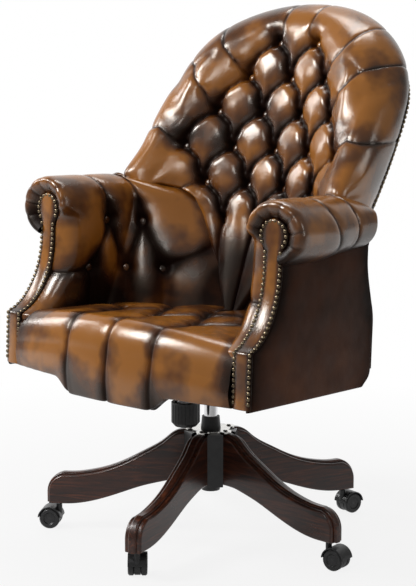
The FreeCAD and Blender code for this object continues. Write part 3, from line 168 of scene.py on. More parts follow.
# %% [markdown]
# ## Floor
# The camera sees the floor mostly as white paper that gives off light, and the rest of it is ordinary
# paint, so that the chair's soft shadow stays. The paper gets whiter with the distance from the chair.

# %% Floor
FLOOR_SIZE = 14


def new_paint(name):
    paint = bpy.data.materials.new(name)
    paint.use_nodes = True
    return paint, paint.node_tree, paint.node_tree.nodes["Principled BSDF"]


def floor_paint():
    paint, tree, coat = new_paint("floor_paint")
    coat.inputs["Base Color"].default_value = (0.5, 0.5, 0.5, 1)
    coat.inputs["Roughness"].default_value = 0.6
    glow = add(tree, "ShaderNodeEmission", Strength=1.0)
    place = add(tree, "ShaderNodeTexCoord").outputs["Object"]
    far = add(tree, "ShaderNodeVectorMath", operation="LENGTH")
    tree.links.new(place, far.inputs[0])
    share = add(tree, "ShaderNodeMapRange", From_Min=0.5, From_Max=1.5, To_Min=0.86, To_Max=1.0)
    tree.links.new(far.outputs["Value"], share.inputs["Value"])
    seen = combined(tree, "MULTIPLY", backdrop_mask(tree, place, -0.6, 0.5), share.outputs[0])
    mix_shaders(tree, seen, coat, glow, "Material Output")
    return paint


bpy.ops.object.select_all(action="DESELECT")
bpy.ops.mesh.primitive_plane_add(size=FLOOR_SIZE)
floor = bpy.context.active_object
floor.name = "studio_floor"
floor.data.materials.append(floor_paint())
print("floor laid")

# %% [markdown]
# ## Finishes
# Hand-rubbed leather is dyed dark and then rubbed back, so the crowns of the folds go tan and the
# valleys stay nearly black. Each leather piece carries a mask attribute that is 1 on a crown and 0
# in a valley, and the colour follows it. The same mask also holds painted shade: it is lowered in the
# creases and wells, under the rolls, low on the back and where the arms meet the back and seat, and
# there it dims the reflections too. A shared group gives the pebbled grain and the mottling.

# %% Shared groups
def new_group(name, ins, outs):
    group = bpy.data.node_groups.new(name, "ShaderNodeTree")
    for socket, value in ins:
        item = group.interface.new_socket(socket, in_out="INPUT", socket_type="NodeSocketFloat")
        item.default_value = value
    for socket in outs:
        group.interface.new_socket(socket, in_out="OUTPUT", socket_type="NodeSocketFloat")
    return group, group.nodes.new("NodeGroupInput"), group.nodes.new("NodeGroupOutput")


def hide_grain():
    group, entry, leave = new_group(
        "hide_grain", [("Pebble Size", 700.0), ("Mottle Size", 9.0)], ["Height", "Mottle", "Shine"])
    place = add(group, "ShaderNodeTexCoord")
    pebble = add(group, "ShaderNodeTexVoronoi", feature="SMOOTH_F1")
    wrinkle = add(group, "ShaderNodeTexNoise", Detail=4.0, Roughness=0.62, Scale=95.0)
    mottle = add(group, "ShaderNodeTexNoise", Detail=3.0, Roughness=0.55)
    shine = add(group, "ShaderNodeTexNoise", Detail=2.0, Scale=34.0)
    for texture in (pebble, wrinkle, mottle, shine):
        group.links.new(place.outputs["Object"], texture.inputs["Vector"])
    group.links.new(entry.outputs["Pebble Size"], pebble.inputs["Scale"])
    group.links.new(entry.outputs["Mottle Size"], mottle.inputs["Scale"])
    height = add(group, "ShaderNodeMath", operation="MULTIPLY_ADD")
    height.inputs[1].default_value = 1.6
    group.links.new(wrinkle.outputs["Fac"], height.inputs[0])
    group.links.new(pebble.outputs["Distance"], height.inputs[2])
    group.links.new(height.outputs[0], leave.inputs["Height"])
    group.links.new(mottle.outputs["Fac"], leave.inputs["Mottle"])
    group.links.new(shine.outputs["Fac"], leave.inputs["Shine"])
    return group


def worn_edges():
    group, entry, leave = new_group("worn_edges", [("Scuff Size", 60.0)], ["Scuff", "Shine"])
    place = add(group, "ShaderNodeTexCoord")
    scuff = add(group, "ShaderNodeTexNoise", Detail=5.0, Roughness=0.6)
    smear = add(group, "ShaderNodeTexNoise", Detail=2.0, Scale=18.0)
    group.links.new(place.outputs["Object"], scuff.inputs["Vector"])
    group.links.new(place.outputs["Object"], smear.inputs["Vector"])
    group.links.new(entry.outputs["Scuff Size"], scuff.inputs["Scale"])
    group.links.new(scuff.outputs["Fac"], leave.inputs["Scuff"])
    group.links.new(smear.outputs["Fac"], leave.inputs["Shine"])
    return group


GRAIN = hide_grain()
SCUFF = worn_edges()
print("groups:", GRAIN.name, SCUFF.name)

# %% Leather
VALLEY_DULL = 0.2
PEBBLE_DEPTH = 0.0006
# The reflections' tint follows the same mask: warm on the crowns, and painted shade that dims them to
# almost nothing in the valleys and shaded places.
REFLECTION_TINT_AND_SHADE = [(0.0, (0.03, 0.025, 0.02)), (0.28, (0.3, 0.25, 0.2)), (0.6, (1.0, 0.95, 0.88))]


def coloured(tree, socket, source, stops):
    """Give the socket a colour that runs through the stops as the source goes from 0 to 1."""
    node = tree.nodes.new("ShaderNodeValToRGB")
    points = node.color_ramp.elements
    for end, (place, colour) in ((0, stops[0]), (1, stops[-1])):
        points[end].position = place
        points[end].color = (*colour, 1)
    for place, colour in stops[1:-1]:
        points.new(place).color = (*colour, 1)
    tree.links.new(source, node.inputs[0])
    tree.links.new(node.outputs[0], socket)


def spread(tree, source, low, high, top=1.0):
    node = add(tree, "ShaderNodeMapRange", From_Max=top, To_Min=low, To_Max=high)
    tree.links.new(source, node.inputs["Value"])
    return node.outputs[0]


def bumped(tree, coat, height, strength, distance):
    dents = add(tree, "ShaderNodeBump", Strength=strength, Distance=distance)
    tree.links.new(height, dents.inputs["Height"])
    tree.links.new(dents.outputs[0], coat.inputs["Normal"])


def leather(name, colours, mottle_share, shine, gloss, bump, pebble):
    paint, tree, coat = new_paint(name)
    grain = add(tree, "ShaderNodeGroup", node_tree=GRAIN, Pebble_Size=pebble)
    # The mask holds the rubbed-back tone and painted shade: it sets the colour and dims the reflections.
    rub_and_shade = add(tree, "ShaderNodeAttribute", attribute_name="rub_and_shade").outputs["Fac"]
    shift = spread(tree, grain.outputs["Mottle"], -mottle_share, mottle_share)
    coloured(tree, coat.inputs["Base Color"], combined(tree, "ADD", rub_and_shade, shift), colours)
    polish = spread(tree, grain.outputs["Shine"], shine[0], shine[1])
    valleys = spread(tree, rub_and_shade, VALLEY_DULL, 0.0, 0.5)
    tree.links.new(combined(tree, "ADD", polish, valleys), coat.inputs["Roughness"])
    bumped(tree, coat, grain.outputs["Height"], bump, PEBBLE_DEPTH)
    coat.inputs["Specular IOR Level"].default_value = gloss
    coloured(tree, coat.inputs["Specular Tint"], rub_and_shade, REFLECTION_TINT_AND_SHADE)
    return paint


TAN = leather("hand_rubbed_tan_and_shade", [
    (0.0, (0.008, 0.003, 0.002)), (0.3, (0.028, 0.009, 0.004)), (0.65, (0.11, 0.034, 0.005)),
    (1.0, (0.30, 0.108, 0.013))], 1.25, (0.16, 0.3), 1.0, 0.22, 700.0)
UMBER = leather("dark_umber", [
    (0.0, (0.010, 0.004, 0.002)), (0.5, (0.060, 0.018, 0.006)), (1.0, (0.140, 0.045, 0.013))],
    0.5, (0.4, 0.6), 0.16, 0.2, 620.0)
print("leather:", TAN.name, UMBER.name)

# %% [markdown]
# ## Rigid finishes
# Steel, plastic and timber differ in colour, gloss and wear only, so one function makes them all from
# a few numbers. The shared scuff pattern keeps each of them from looking freshly moulded.

# %% Rigid finishes
SCUFF_BUMP = 0.08
SCUFF_DEPTH = 0.0004
LACQUER_ROUGH = 0.12


def finish(name, base, rough, metal=0.0, scuff_size=60.0, scuff_tint=0.25, coat_weight=0.0):
    paint, tree, coat = new_paint(name)
    wear = add(tree, "ShaderNodeGroup", node_tree=SCUFF, Scuff_Size=scuff_size)
    lighter = tuple(min(1.0, c + scuff_tint * (c + 0.03)) for c in base)
    darker = tuple(c * (1 - 0.6 * scuff_tint) for c in base)
    coloured(tree, coat.inputs["Base Color"], wear.outputs["Scuff"], [(0.3, darker), (0.7, lighter)])
    tree.links.new(spread(tree, wear.outputs["Shine"], rough[0], rough[1]), coat.inputs["Roughness"])
    bumped(tree, coat, wear.outputs["Scuff"], SCUFF_BUMP, SCUFF_DEPTH)
    coat.inputs["Metallic"].default_value = metal
    coat.inputs["Coat Weight"].default_value = coat_weight
    coat.inputs["Coat Roughness"].default_value = LACQUER_ROUGH
    return paint


SLOT_FINISH = {
    "black_steel": finish("black_enamel", (0.012, 0.012, 0.013), (0.3, 0.45), coat_weight=0.3),
    "bright_steel": finish("zinc_steel", (0.5, 0.5, 0.51), (0.28, 0.42), metal=1.0),
    "chrome": finish("ground_chrome", (0.75, 0.75, 0.76), (0.08, 0.16), metal=1.0, scuff_tint=0.05),
    "nickel": finish("bright_nickel", (0.72, 0.71, 0.68), (0.14, 0.24), metal=1.0, scuff_tint=0.08),
    "black_plastic": finish("moulded_black", (0.014, 0.014, 0.015), (0.35, 0.5), scuff_size=200.0),
    "castor_black": finish("castor_black", (0.012, 0.012, 0.013), (0.28, 0.42), scuff_size=120.0),
    "frame_timber": finish("stained_timber", (0.10, 0.06, 0.035), (0.6, 0.75), scuff_size=30.0),
}
BRASS = finish("antique_brass", (0.17, 0.13, 0.08), (0.2, 0.34), metal=1.0, scuff_size=260.0,
               scuff_tint=0.5)
print("rigid finishes:", len(SLOT_FINISH) + 1)

# %% [markdown]
# ## Mahogany
# A leg is sawn along its length, so its figure runs outwards from the hub. The noise is turned to the
# leg's own direction and stretched along it, which gives every leg a material of its own.

# %% Mahogany
BASE_TURN = -2.0
LEG_TURN = 72
FIGURE_STRETCH = (5.0, 60.0, 60.0)
MAHOGANY = [(0.34, (0.010, 0.003, 0.002)), (0.52, (0.048, 0.012, 0.005)), (0.68, (0.13, 0.034, 0.012))]


def mahogany(name, turn):
    paint, tree, coat = new_paint(name)
    place = add(tree, "ShaderNodeTexCoord")
    along = add(tree, "ShaderNodeMapping", Rotation=(0, 0, -math.radians(turn)))
    stretch = add(tree, "ShaderNodeMapping", Scale=FIGURE_STRETCH)
    figure = add(tree, "ShaderNodeTexNoise", Scale=2.2, Detail=7.0, Roughness=0.66, Distortion=1.1)
    tree.links.new(place.outputs["Object"], along.inputs["Vector"])
    tree.links.new(along.outputs[0], stretch.inputs["Vector"])
    tree.links.new(stretch.outputs[0], figure.inputs["Vector"])
    coloured(tree, coat.inputs["Base Color"], figure.outputs["Fac"], MAHOGANY)
    wear = add(tree, "ShaderNodeGroup", node_tree=SCUFF)
    tree.links.new(spread(tree, wear.outputs["Shine"], 0.22, 0.38), coat.inputs["Roughness"])
    bumped(tree, coat, figure.outputs["Fac"], 0.12, SCUFF_DEPTH)
    coat.inputs["Coat Weight"].default_value = 0.3
    coat.inputs["Coat Roughness"].default_value = 0.1
    return paint


def repaint(node, paint):
    node.data.materials.clear()
    node.data.materials.append(paint)


for number in range(1, 6):
    leg_paint = mahogany("mahogany_%d" % number, BASE_TURN + LEG_TURN * (number - 1))
    repaint(nodes["leg_%d" % number], leg_paint)
for entry in frame["record"]["subparts"]:
    if entry["material_slot"] in SLOT_FINISH:
        repaint(nodes[entry["node"]], SLOT_FINISH[entry["material_slot"]])
print("CAD nodes painted")

# %% [markdown]
# ## How the leather is shaped
# A tufted pad is a smooth form that buttons and folds draw in. So each piece starts as a grid of
# points on the smooth form, and every fold is a line on that grid with a depth. Between two folds
# the leather bulges in a round arc, which is what the square root below gives.

# %% Shape helpers
MM = 0.001
RAKE = math.radians(2.6)        # the whole seat leans back this far
RAKE_Z = 400.0
ARM_TOE = math.radians(4.0)     # the arms draw together towards the back
CROWN_RUB = 0.9                 # how far a crown is rubbed back to tan


def smooth(t):
    t = np.clip(t, 0, 1)
    return t * t * (3 - 2 * t)


def mix(a, b, t):
    return a + (b - a) * t


def lean_back(points):
    out = points.copy()
    rise = points[:, 2] - RAKE_Z
    out[:, 1] = points[:, 1] * math.cos(RAKE) + rise * math.sin(RAKE)
    out[:, 2] = RAKE_Z - points[:, 1] * math.sin(RAKE) + rise * math.cos(RAKE)
    return out


print("the seat leans back by", round(math.degrees(RAKE), 1), "degrees")


# %% Folds and wells
def along_fold(across, along, start, end):
    """How far along a fold each point lies, 0 to 1, how far off it is, and on which side."""
    a, b = across - start[0], along - start[1]
    da, db = end[0] - start[0], end[1] - start[1]
    t = np.clip((a * da + b * db) / (da * da + db * db), 0, 1)
    below = np.sign(a * db - b * da) * (1.0 if da > 0 else -1.0)
    return t, np.hypot(a - t * da, b - t * db), below


def fold_depth(across, along, folds, overhang=0.0):
    """How deep the folds press in; with an overhang they fall off faster on their lower side."""
    total = np.zeros(len(across))
    for start, end, first, middle, last, reach in folds:
        t, gap, below = along_fold(across, along, start, end)
        near = 1 - np.clip(gap / (reach * (1 - overhang * below)), 0, 1)
        shape = 1 - np.sqrt(1 - 0.985 * near * near)
        depth = mix(mix(first, last, t), middle, (4 * t * (1 - t)) ** 0.7)
        total += (depth * shape) ** 4
    return total ** 0.25


def fold_nearness(across, along, folds):
    """1 on a fold, 0 further off than its reach; shallow folds count for less."""
    total = np.zeros(len(across))
    deepest = max(fold[2] for fold in folds)
    for start, end, first, middle, last, reach in folds:
        t, gap, _ = along_fold(across, along, start, end)
        depth = mix(mix(first, last, t), middle, 4 * t * (1 - t))
        weight = np.clip(0.3 + 1.1 * depth / deepest, 0, 1)
        total = np.maximum(total, weight * (1 - np.clip(gap / reach, 0, 1)))
    return total


def well_depth(across, along, buttons, depth, radius):
    total = np.zeros(len(across))
    for a, b in buttons:
        total = np.maximum(total, depth * np.exp(-((across - a) ** 2 + (along - b) ** 2) / radius ** 2))
    return total


print("folds and wells: depths are measured on the flat hide")


# %% Sheets
def sheet_mesh(name, points, faces):
    """A piece from points in millimetres."""
    mesh = bpy.data.meshes.new(name)
    mesh.from_pydata((points * MM).tolist(), [], faces)
    mesh.update()
    piece = bpy.data.objects.new(name, mesh)
    scene.collection.objects.link(piece)
    return piece


def grid_faces(rows, columns):
    return [(r * columns + c, r * columns + c + 1, (r + 1) * columns + c + 1, (r + 1) * columns + c)
            for r in range(rows - 1) for c in range(columns - 1)]


def point_array(piece):
    flat = np.zeros(len(piece.data.vertices) * 3)
    piece.data.vertices.foreach_get("co", flat)
    return flat.reshape(-1, 3)


def set_points(piece, points):
    piece.data.vertices.foreach_set("co", points.ravel())
    piece.data.update()


def lean(piece, mirrored=False):
    """Lean the shaped piece with the seat, and mirror it for the sitter's right side."""
    shaped = lean_back(point_array(piece) / MM)
    if mirrored:
        shaped[:, 0] *= -1
        piece.data.flip_normals()
    set_points(piece, shaped * MM)


def outward(piece):
    flat = np.zeros(len(piece.data.vertices) * 3, np.float32)
    piece.data.vertex_normals.foreach_get("vector", flat)
    return flat.reshape(-1, 3).astype(float)


print("sheets: grids of four-sided faces")


# %% Drawing in
def press_in(piece, depth):
    set_points(piece, point_array(piece) - outward(piece) * (depth * MM)[:, None])


def draw_in(piece, depth, direction, by_normal):
    """Press in along one direction where by_normal is 0 and along the normals where it is 1."""
    way = mix(direction, -outward(piece), by_normal[:, None])
    set_points(piece, point_array(piece) + way * (depth * MM)[:, None])


def keep_flat(piece, across, along):
    """Note the flat coordinates on the points, so that they are still known on the finer mesh."""
    layer = piece.data.attributes.new("flat", "FLOAT_VECTOR", "POINT")
    layer.data.foreach_set("vector", np.stack([across, along, 0 * across], axis=1).ravel())


def tighten(piece, folds, depth, reach):
    """Draw a fine crease along every fold, darkened as painted shade and the dye left in it."""
    layer = piece.data.attributes["flat"]
    flat = np.zeros(len(layer.data) * 3)
    layer.data.foreach_get("vector", flat)
    flat = flat.reshape(-1, 3)
    lines = [(start, end, depth, depth, depth, reach) for start, end, *_ in folds]
    drawn = fold_depth(flat[:, 0], flat[:, 1], lines)
    press_in(piece, drawn)
    rub_and_shade = np.zeros(len(flat))
    piece.data.attributes["rub_and_shade"].data.foreach_get("value", rub_and_shade)
    piece.data.attributes["rub_and_shade"].data.foreach_set("value", rub_and_shade * np.clip(1 - 1.1 * drawn / depth, 0, 1))
    piece.data.attributes.remove(piece.data.attributes["flat"])


# The mask of rubbed-back tone and painted shade, 0 to 1, kept on the points.
def set_rub_and_shade(piece, rub_and_shade):
    layer = piece.data.attributes.new("rub_and_shade", "FLOAT", "POINT")
    layer.data.foreach_set("value", np.clip(rub_and_shade, 0, 1).astype(np.float32))


print("drawing in: along the normals or one direction")


# %% Dressing a piece
def only(piece):
    bpy.ops.object.select_all(action="DESELECT")
    piece.select_set(True)
    bpy.context.view_layer.objects.active = piece


def finer(piece):
    only(piece)
    step = piece.modifiers.new("finer", "SUBSURF")
    step.levels = 1
    step.render_levels = 1
    bpy.ops.object.modifier_apply(modifier="finer")


def dress(piece, paint, replaced):
    """Give a padded hide its finish, and let it ride the seat in place of a solid."""
    piece.data.materials.append(paint)
    only(piece)
    bpy.ops.object.shade_smooth()
    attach(piece, "seat")
    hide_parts(replaced)
    print(piece.name, len(piece.data.polygons), "faces")


# %% [markdown]
# ## The stuffing's push
# Stuffing pushes a hide out between its folds, and the hide gives way evenly. A few frames of cloth
# with a little pressure do the same: the folds and edges are tacked down and all the rest may swell.

# %% Cloth
PUFF_FRAMES = 14
CLOTH_MASS = 0.4
STRETCH_STIFF = 24
SHEAR_STIFF = 8
BEND_STIFF = 2.0


def puff_up(piece, held, pressure, most):
    """Blow the leather up, by most millimetres at the utmost; held is 1 where it is tacked down."""
    only(piece)
    tacks = piece.vertex_groups.new(name="tacks")
    for index, weight in enumerate(held):
        if weight > 0.01:
            tacks.add([index], float(weight), "REPLACE")
    cloth = piece.modifiers.new("puff", "CLOTH")
    cloth.settings.quality = 5
    cloth.settings.mass = CLOTH_MASS
    cloth.settings.tension_stiffness = STRETCH_STIFF
    cloth.settings.compression_stiffness = STRETCH_STIFF
    cloth.settings.shear_stiffness = SHEAR_STIFF
    cloth.settings.bending_stiffness = BEND_STIFF
    cloth.settings.vertex_group_mass = "tacks"
    cloth.settings.use_pressure = True
    cloth.settings.uniform_pressure_force = pressure
    cloth.settings.effector_weights.gravity = 0
    cloth.collision_settings.use_collision = False
    cloth.point_cache.frame_start = 1
    cloth.point_cache.frame_end = PUFF_FRAMES
    before = point_array(piece)
    for number in range(1, PUFF_FRAMES + 1):
        scene.frame_set(number)
    puffed = piece.evaluated_get(bpy.context.evaluated_depsgraph_get())
    flat = np.zeros(len(before) * 3)
    puffed.data.vertices.foreach_get("co", flat)
    move = flat.reshape(-1, 3) - before
    length = np.linalg.norm(move, axis=1)
    limit = most * MM
    move *= (limit * np.tanh(length / limit) / np.maximum(length, 1e-9))[:, None]
    piece.modifiers.remove(cloth)
    piece.vertex_groups.remove(tacks)
    scene.frame_set(1)
    set_points(piece, before + move)
    print(piece.name, "puffed by up to", round(float(length.max()) / MM, 1), "mm")


print("cloth: hides are puffed over", PUFF_FRAMES, "frames")


# %% [markdown]
# ## The inside back
# One hide runs from the seat up over the buttoned field and round the rolled edge to the nails behind.
# Its grid follows the diamonds, so every fold lies along a row of edges and stays crisp. The grid is
# laid out flat first: points past the roll's crest are then wrapped round the edge to the nail line.

# %% Back profile
BACK_PITCH = 102.0
ROW_PITCH = 74.3
ROW_TOP = 1021.0
ROW_COUNTS = (2, 3, 4, 5, 4, 3)
BUTTON_SINK = 34.0
BACK_TOP = 1092.0
SHOULDER_Z = 885.0
SHOULDER_W = 288.0
WAIST_Z = 640.0
WAIST_W = 244.0
SHOULDER_POWER = 2.1        # 2 would be an ellipse over the shoulders
FIELD_Z = 708.0             # the height at which the depths below are given
FIELD_Y = 166.0
FIELD_LEAN = 0.31
REAR_Y = 190.0
REAR_LEAN = 0.333
EDGE_IN = 10.0              # how far the nail line lies inside the outline, at the sides and on top
TOP_IN = 44.0
DRAW_BACK = 0.955           # the buttons pull straight into the leaning field
DRAW_DOWN = 0.296


def tub_share(z):
    """0 at the seat's lower edge, 1 at the arms' height, where the tub is narrower."""
    return smooth((z - 470) / 130)


def back_crown(x, z):
    """The depth of the field's crowns."""
    return FIELD_Y + FIELD_LEAN * (z - FIELD_Z) - 55 * (x / 200) ** 2 - BUTTON_SINK


def edge_depth(z):
    """The depth of the back's rear edge: the upright tub below, the leaning back above."""
    leaning = REAR_Y + REAR_LEAN * (z - FIELD_Z)
    tub = mix(146, 120, tub_share(z))
    return mix(tub, leaning, smooth((z - 600) / 65))


def rear_depth(x, z):
    return edge_depth(z) + 50 * (1 - (x / SHOULDER_W) ** 2)


def wing(z):
    """How far the rolled side stands behind the field's own curve, or before it where negative."""
    high = np.minimum(46, 0.35 * (z - 785))
    low = mix(50, -15.75, smooth((z - 640) / 60))
    return np.where(z > 740, high, low)


print("back:", sum(ROW_COUNTS), "buttons in", len(ROW_COUNTS), "rows")


# %% Back outline
def outline_points():
    low = np.linspace(430, SHOULDER_Z, 150)
    rise = np.clip((low - WAIST_Z) / (SHOULDER_Z - WAIST_Z), 0, 1)
    side = mix(WAIST_W, SHOULDER_W, np.sin(np.pi / 2 * rise))
    turn = np.linspace(0, np.pi / 2, 140)[1:]
    arc_x = SHOULDER_W * np.cos(turn).clip(0) ** (2 / SHOULDER_POWER)
    arc_z = SHOULDER_Z + (BACK_TOP - SHOULDER_Z) * np.sin(turn) ** (2 / SHOULDER_POWER)
    x = np.concatenate([side, arc_x])
    z = np.concatenate([low, arc_z])
    x = np.concatenate([x, -x[-2::-1]])
    z = np.concatenate([z, z[-2::-1]])
    return x, z


def outline_outward(x, z):
    dx = np.gradient(x)
    dz = np.gradient(z)
    size = np.hypot(dx, dz)
    return dz / size, -dx / size


# The values along the outline: its points, the roll's crest in front and the nail line behind.
OUT_X, OUT_Z = outline_points()
HALF = len(OUT_X) // 2 + 1
OUT_NX, OUT_NZ = outline_outward(OUT_X, OUT_Z)
TOP_SHARE = smooth((OUT_Z - SHOULDER_Z) / (BACK_TOP - SHOULDER_Z))
WING_SHARE = np.clip((935 - OUT_Z) / 210, 0, 1)
CREST_IN = mix(mix(30, 12, smooth((800 - OUT_Z) / 90)), 55, TOP_SHARE)
NAIL_IN = mix(EDGE_IN, TOP_IN, TOP_SHARE)
CREST_X = OUT_X - OUT_NX * CREST_IN
CREST_Z = OUT_Z - OUT_NZ * CREST_IN
NAIL_X = OUT_X - OUT_NX * NAIL_IN
NAIL_Z = OUT_Z - OUT_NZ * NAIL_IN
NAIL_Y = rear_depth(NAIL_X, NAIL_Z)


print("back outline of", len(OUT_X), "points")


# %% Back face
def corner_x(z):
    """Half width of the back between the two arms: a V that opens upwards and then runs out sideways."""
    return 33 + 0.534 * (z - 487) + 130 * np.clip((z - 640) / 82, 0, 1) ** 4


def gathered(x, z):
    """The diamonds draw together towards the seat."""
    return x * (1 - 0.18 * np.clip((770 - z) / 120, 0, None) ** 1.3)


def back_face(x, z):
    """The smooth form of the field and its sides, before any fold is drawn in."""
    inset = np.interp(z, OUT_Z[:HALF], OUT_X[:HALF]) - np.abs(x)
    tuck = 70 * smooth((np.abs(x) - corner_x(z) + 8) / 45) * (z < 722) * smooth((232 - np.abs(x)) / 20)
    return back_crown(x, z) + wing(z) * smooth(np.abs(x) / 200) * smooth((80 - inset) / 58) + tuck


CREST_Y = back_face(CREST_X, CREST_Z)
ROLL_LENGTH = np.hypot(NAIL_Y - CREST_Y, 26) + 24
print("the roll is about", round(float(ROLL_LENGTH.mean())), "mm of hide")


# %% Back grid
BATCH = 3000
GRID_REACH = 9
GRID_CELLS = 17


def nearest_on_crest(x, z):
    """The nearest place on the crest line, as a point number, and how far outside it a point lies."""
    where = np.zeros(len(x))
    gap = np.zeros(len(x))
    ax, az = CREST_X[:-1], CREST_Z[:-1]
    dx, dz = np.diff(CREST_X), np.diff(CREST_Z)
    length = dx * dx + dz * dz
    for start in range(0, len(x), BATCH):
        px = x[start:start + BATCH, None]
        pz = z[start:start + BATCH, None]
        t = np.clip(((px - ax) * dx + (pz - az) * dz) / length, 0, 1)
        far = np.hypot(px - ax - t * dx, pz - az - t * dz)
        best = far.argmin(axis=1)
        row = np.arange(len(best))
        where[start:start + BATCH] = best + t[row, best]
        side_x = px[:, 0] - ax[best]
        side_z = pz[:, 0] - az[best]
        outside = side_x * OUT_NX[best] + side_z * OUT_NZ[best] > 0
        gap[start:start + BATCH] = np.where(outside, far[row, best], -far[row, best])
    return where, gap


def along_crest(values, where):
    return np.interp(where, np.arange(len(values)), values)


def diamond_grid(cells):
    """A flat grid along the diamonds' sides, with so many cells to a side."""
    steps = np.arange(-GRID_REACH * cells, GRID_REACH * cells + 1) / cells
    rising, falling = np.meshgrid(steps, steps, indexing="ij")
    x = (rising + falling) * BACK_PITCH / 2
    z = ROW_TOP + (rising - falling) * ROW_PITCH
    return x.ravel(), z.ravel(), len(steps)


def trimmed(keep, faces):
    """Which points are still used when only faces of kept points stay, and those faces renumbered."""
    kept = [face for face in faces if keep[list(face)].all()]
    used = np.zeros(len(keep), bool)
    used[np.unique(np.array(kept))] = True
    renumber = np.cumsum(used) - 1
    return used, [tuple(renumber[list(face)]) for face in kept]


print("back grid:", GRID_CELLS, "cells to a diamond's side")


# %% Rolled edge
def wrap_roll(x, z, where, gap):
    """Carry what lies outside the crest round the rolled edge, on a curve to the nail line."""
    points = np.stack([x, back_face(x, z), z], axis=1)
    over = gap > 0
    s = where[over]
    t = np.clip(gap[over] / along_crest(ROLL_LENGTH, s), 0, 1.06)[:, None]
    n = np.stack([along_crest(OUT_NX, s), np.zeros(len(s)), along_crest(OUT_NZ, s)], axis=1)
    start = np.stack([along_crest(v, s) for v in (CREST_X, CREST_Y, CREST_Z)], axis=1)
    end = np.stack([along_crest(v, s) for v in (NAIL_X, NAIL_Y, NAIL_Z)], axis=1)
    flare = along_crest(WING_SHARE, s) * smooth((start[:, 2] - 610) / 50)
    top = along_crest(TOP_SHARE, s) ** 0.5
    forward = flare * smooth((start[:, 2] - 680) / 70)
    reach = (along_crest(CREST_IN, s) + along_crest(NAIL_IN, s)) * 1.02 + 12
    deep = (end - start)[:, 1:2]
    lead = start + n * (0.52 * reach + 66 * flare)[:, None]
    lead += np.array([0, 1.0, 0]) * mix(0.10, -0.36, forward)[:, None] * deep
    trail = end + n * (0.48 * reach + 16 * flare + 29 * top)[:, None]
    trail -= np.array([0, 1.0, 0]) * mix(mix(0.30, 0.45, flare), 0.0, top)[:, None] * deep
    u = 1 - t
    points[over] = u ** 3 * start + 3 * u ** 2 * t * lead + 3 * u * t ** 2 * trail + t ** 3 * end
    return points


print("rolled edge: from the crest to the nail line")


# %% Back folds
DIAMOND_REACH = 35
EDGE_FOLDS = ((0, 1091, 40), (1, 1050, 185), (2, 985, 255), (3, 828, 286))     # row, end z, end x


def back_buttons():
    places = []
    for row, count in enumerate(ROW_COUNTS):
        for k in range(count):
            places.append(((k - (count - 1) / 2) * BACK_PITCH, ROW_TOP - row * ROW_PITCH))
    return places


def back_folds():
    """The diamonds' sides, the folds over the rolled edge and those down to the seat."""
    places = back_buttons()
    folds = []
    for x0, z0 in places:
        for x1, z1 in places:
            if abs(z0 - z1 - ROW_PITCH) < 1 and abs(abs(x0 - x1) - BACK_PITCH / 2) < 1:
                bow = ((x0 + x1) / 2 + 10 * np.sign(x1 - x0), (z0 + z1) / 2 + 8)
                folds.append(((x0, z0), bow, BUTTON_SINK, 24, 20, DIAMOND_REACH))
                folds.append((bow, (x1, z1), 20, 24, BUTTON_SINK, DIAMOND_REACH))
    for row, end_z, end_x in EDGE_FOLDS:
        half = (ROW_COUNTS[row] - 1) / 2 * BACK_PITCH
        for side in (-1, 1):
            best = np.argmin(np.hypot(OUT_X - side * end_x, OUT_Z - end_z))
            far = ROLL_LENGTH[best]
            end = (CREST_X[best] + OUT_NX[best] * far, CREST_Z[best] + OUT_NZ[best] * far)
            over = (CREST_X[best], CREST_Z[best])
            start = (side * half, ROW_TOP - row * ROW_PITCH)
            near = (mix(start[0], over[0], 0.5), mix(start[1], over[1], 0.5))
            folds.append((start, near, BUTTON_SINK, 14, 4, 44))
            folds.append((near, over, 4, 3, 2, 22))
            folds.append((over, end, 2, 2, 1, 16))
    for side in (-1, 1):
        folds.append(((side * 153, 723.8), (side * 235, 690), BUTTON_SINK, 14, 6, 44))
        folds.append(((side * 102, 649.5), (side * 112, 460), BUTTON_SINK, 16, 14, 46))
    folds.append(((0, 649.5), (0, 460), BUTTON_SINK, 16, 14, 46))
    return folds


print("back folds:", len(back_folds()))


# %% Inside back
def inside_back():
    flat_x, z, count = diamond_grid(GRID_CELLS)
    x = gathered(flat_x, z)
    where, gap = nearest_on_crest(x, z)
    keep = (gap < along_crest(ROLL_LENGTH, where) * 1.05) & (z > 452) & (z < 1260)
    keep &= (z > 700) | (np.abs(x) < corner_x(z) + 60) | ((np.abs(x) > 212) & (z > 540))
    used, faces = trimmed(keep, grid_faces(count, count))
    flat_x, x, z, where, gap = flat_x[used], x[used], z[used], where[used], gap[used]
    piece = sheet_mesh("inside_back", wrap_roll(x, z, where, gap), faces)
    depth = fold_depth(flat_x, z, back_folds(), 0.3)
    depth = np.maximum(depth, well_depth(flat_x, z, back_buttons(), BUTTON_SINK + 2, 13))
    draw_in(piece, depth, np.array([0, DRAW_BACK, -DRAW_DOWN]), smooth((gap + 40) / 60))
    nail_line = gap > along_crest(ROLL_LENGTH, where) * 0.93
    held = np.maximum(smooth((depth - 15) / 12), nail_line | (z < 470))
    puff_up(piece, held, 4.0, 9)
    # Darker along the folds and round the buttons, partly the dye left in the valleys and partly painted
    # shade; painted shade also darkens the roll's far side towards the nails and the back low down,
    # between the arms and the seat.
    rub_and_shade = CROWN_RUB - fold_nearness(flat_x, z, back_folds()) ** 6
    rub_and_shade -= well_depth(flat_x, z - 16, back_buttons(), 0.7, 24)
    rub_and_shade -= 0.6 * smooth((gap / along_crest(ROLL_LENGTH, where) - 0.45) / 0.5)
    rub_and_shade -= 0.8 * smooth((675 - z) / 110)
    set_rub_and_shade(piece, rub_and_shade)
    keep_flat(piece, flat_x, z)
    finer(piece)
    tighten(piece, back_folds(), 2.2, 8)
    lean(piece)
    dress(piece, TAN, "back_pad")


inside_back()

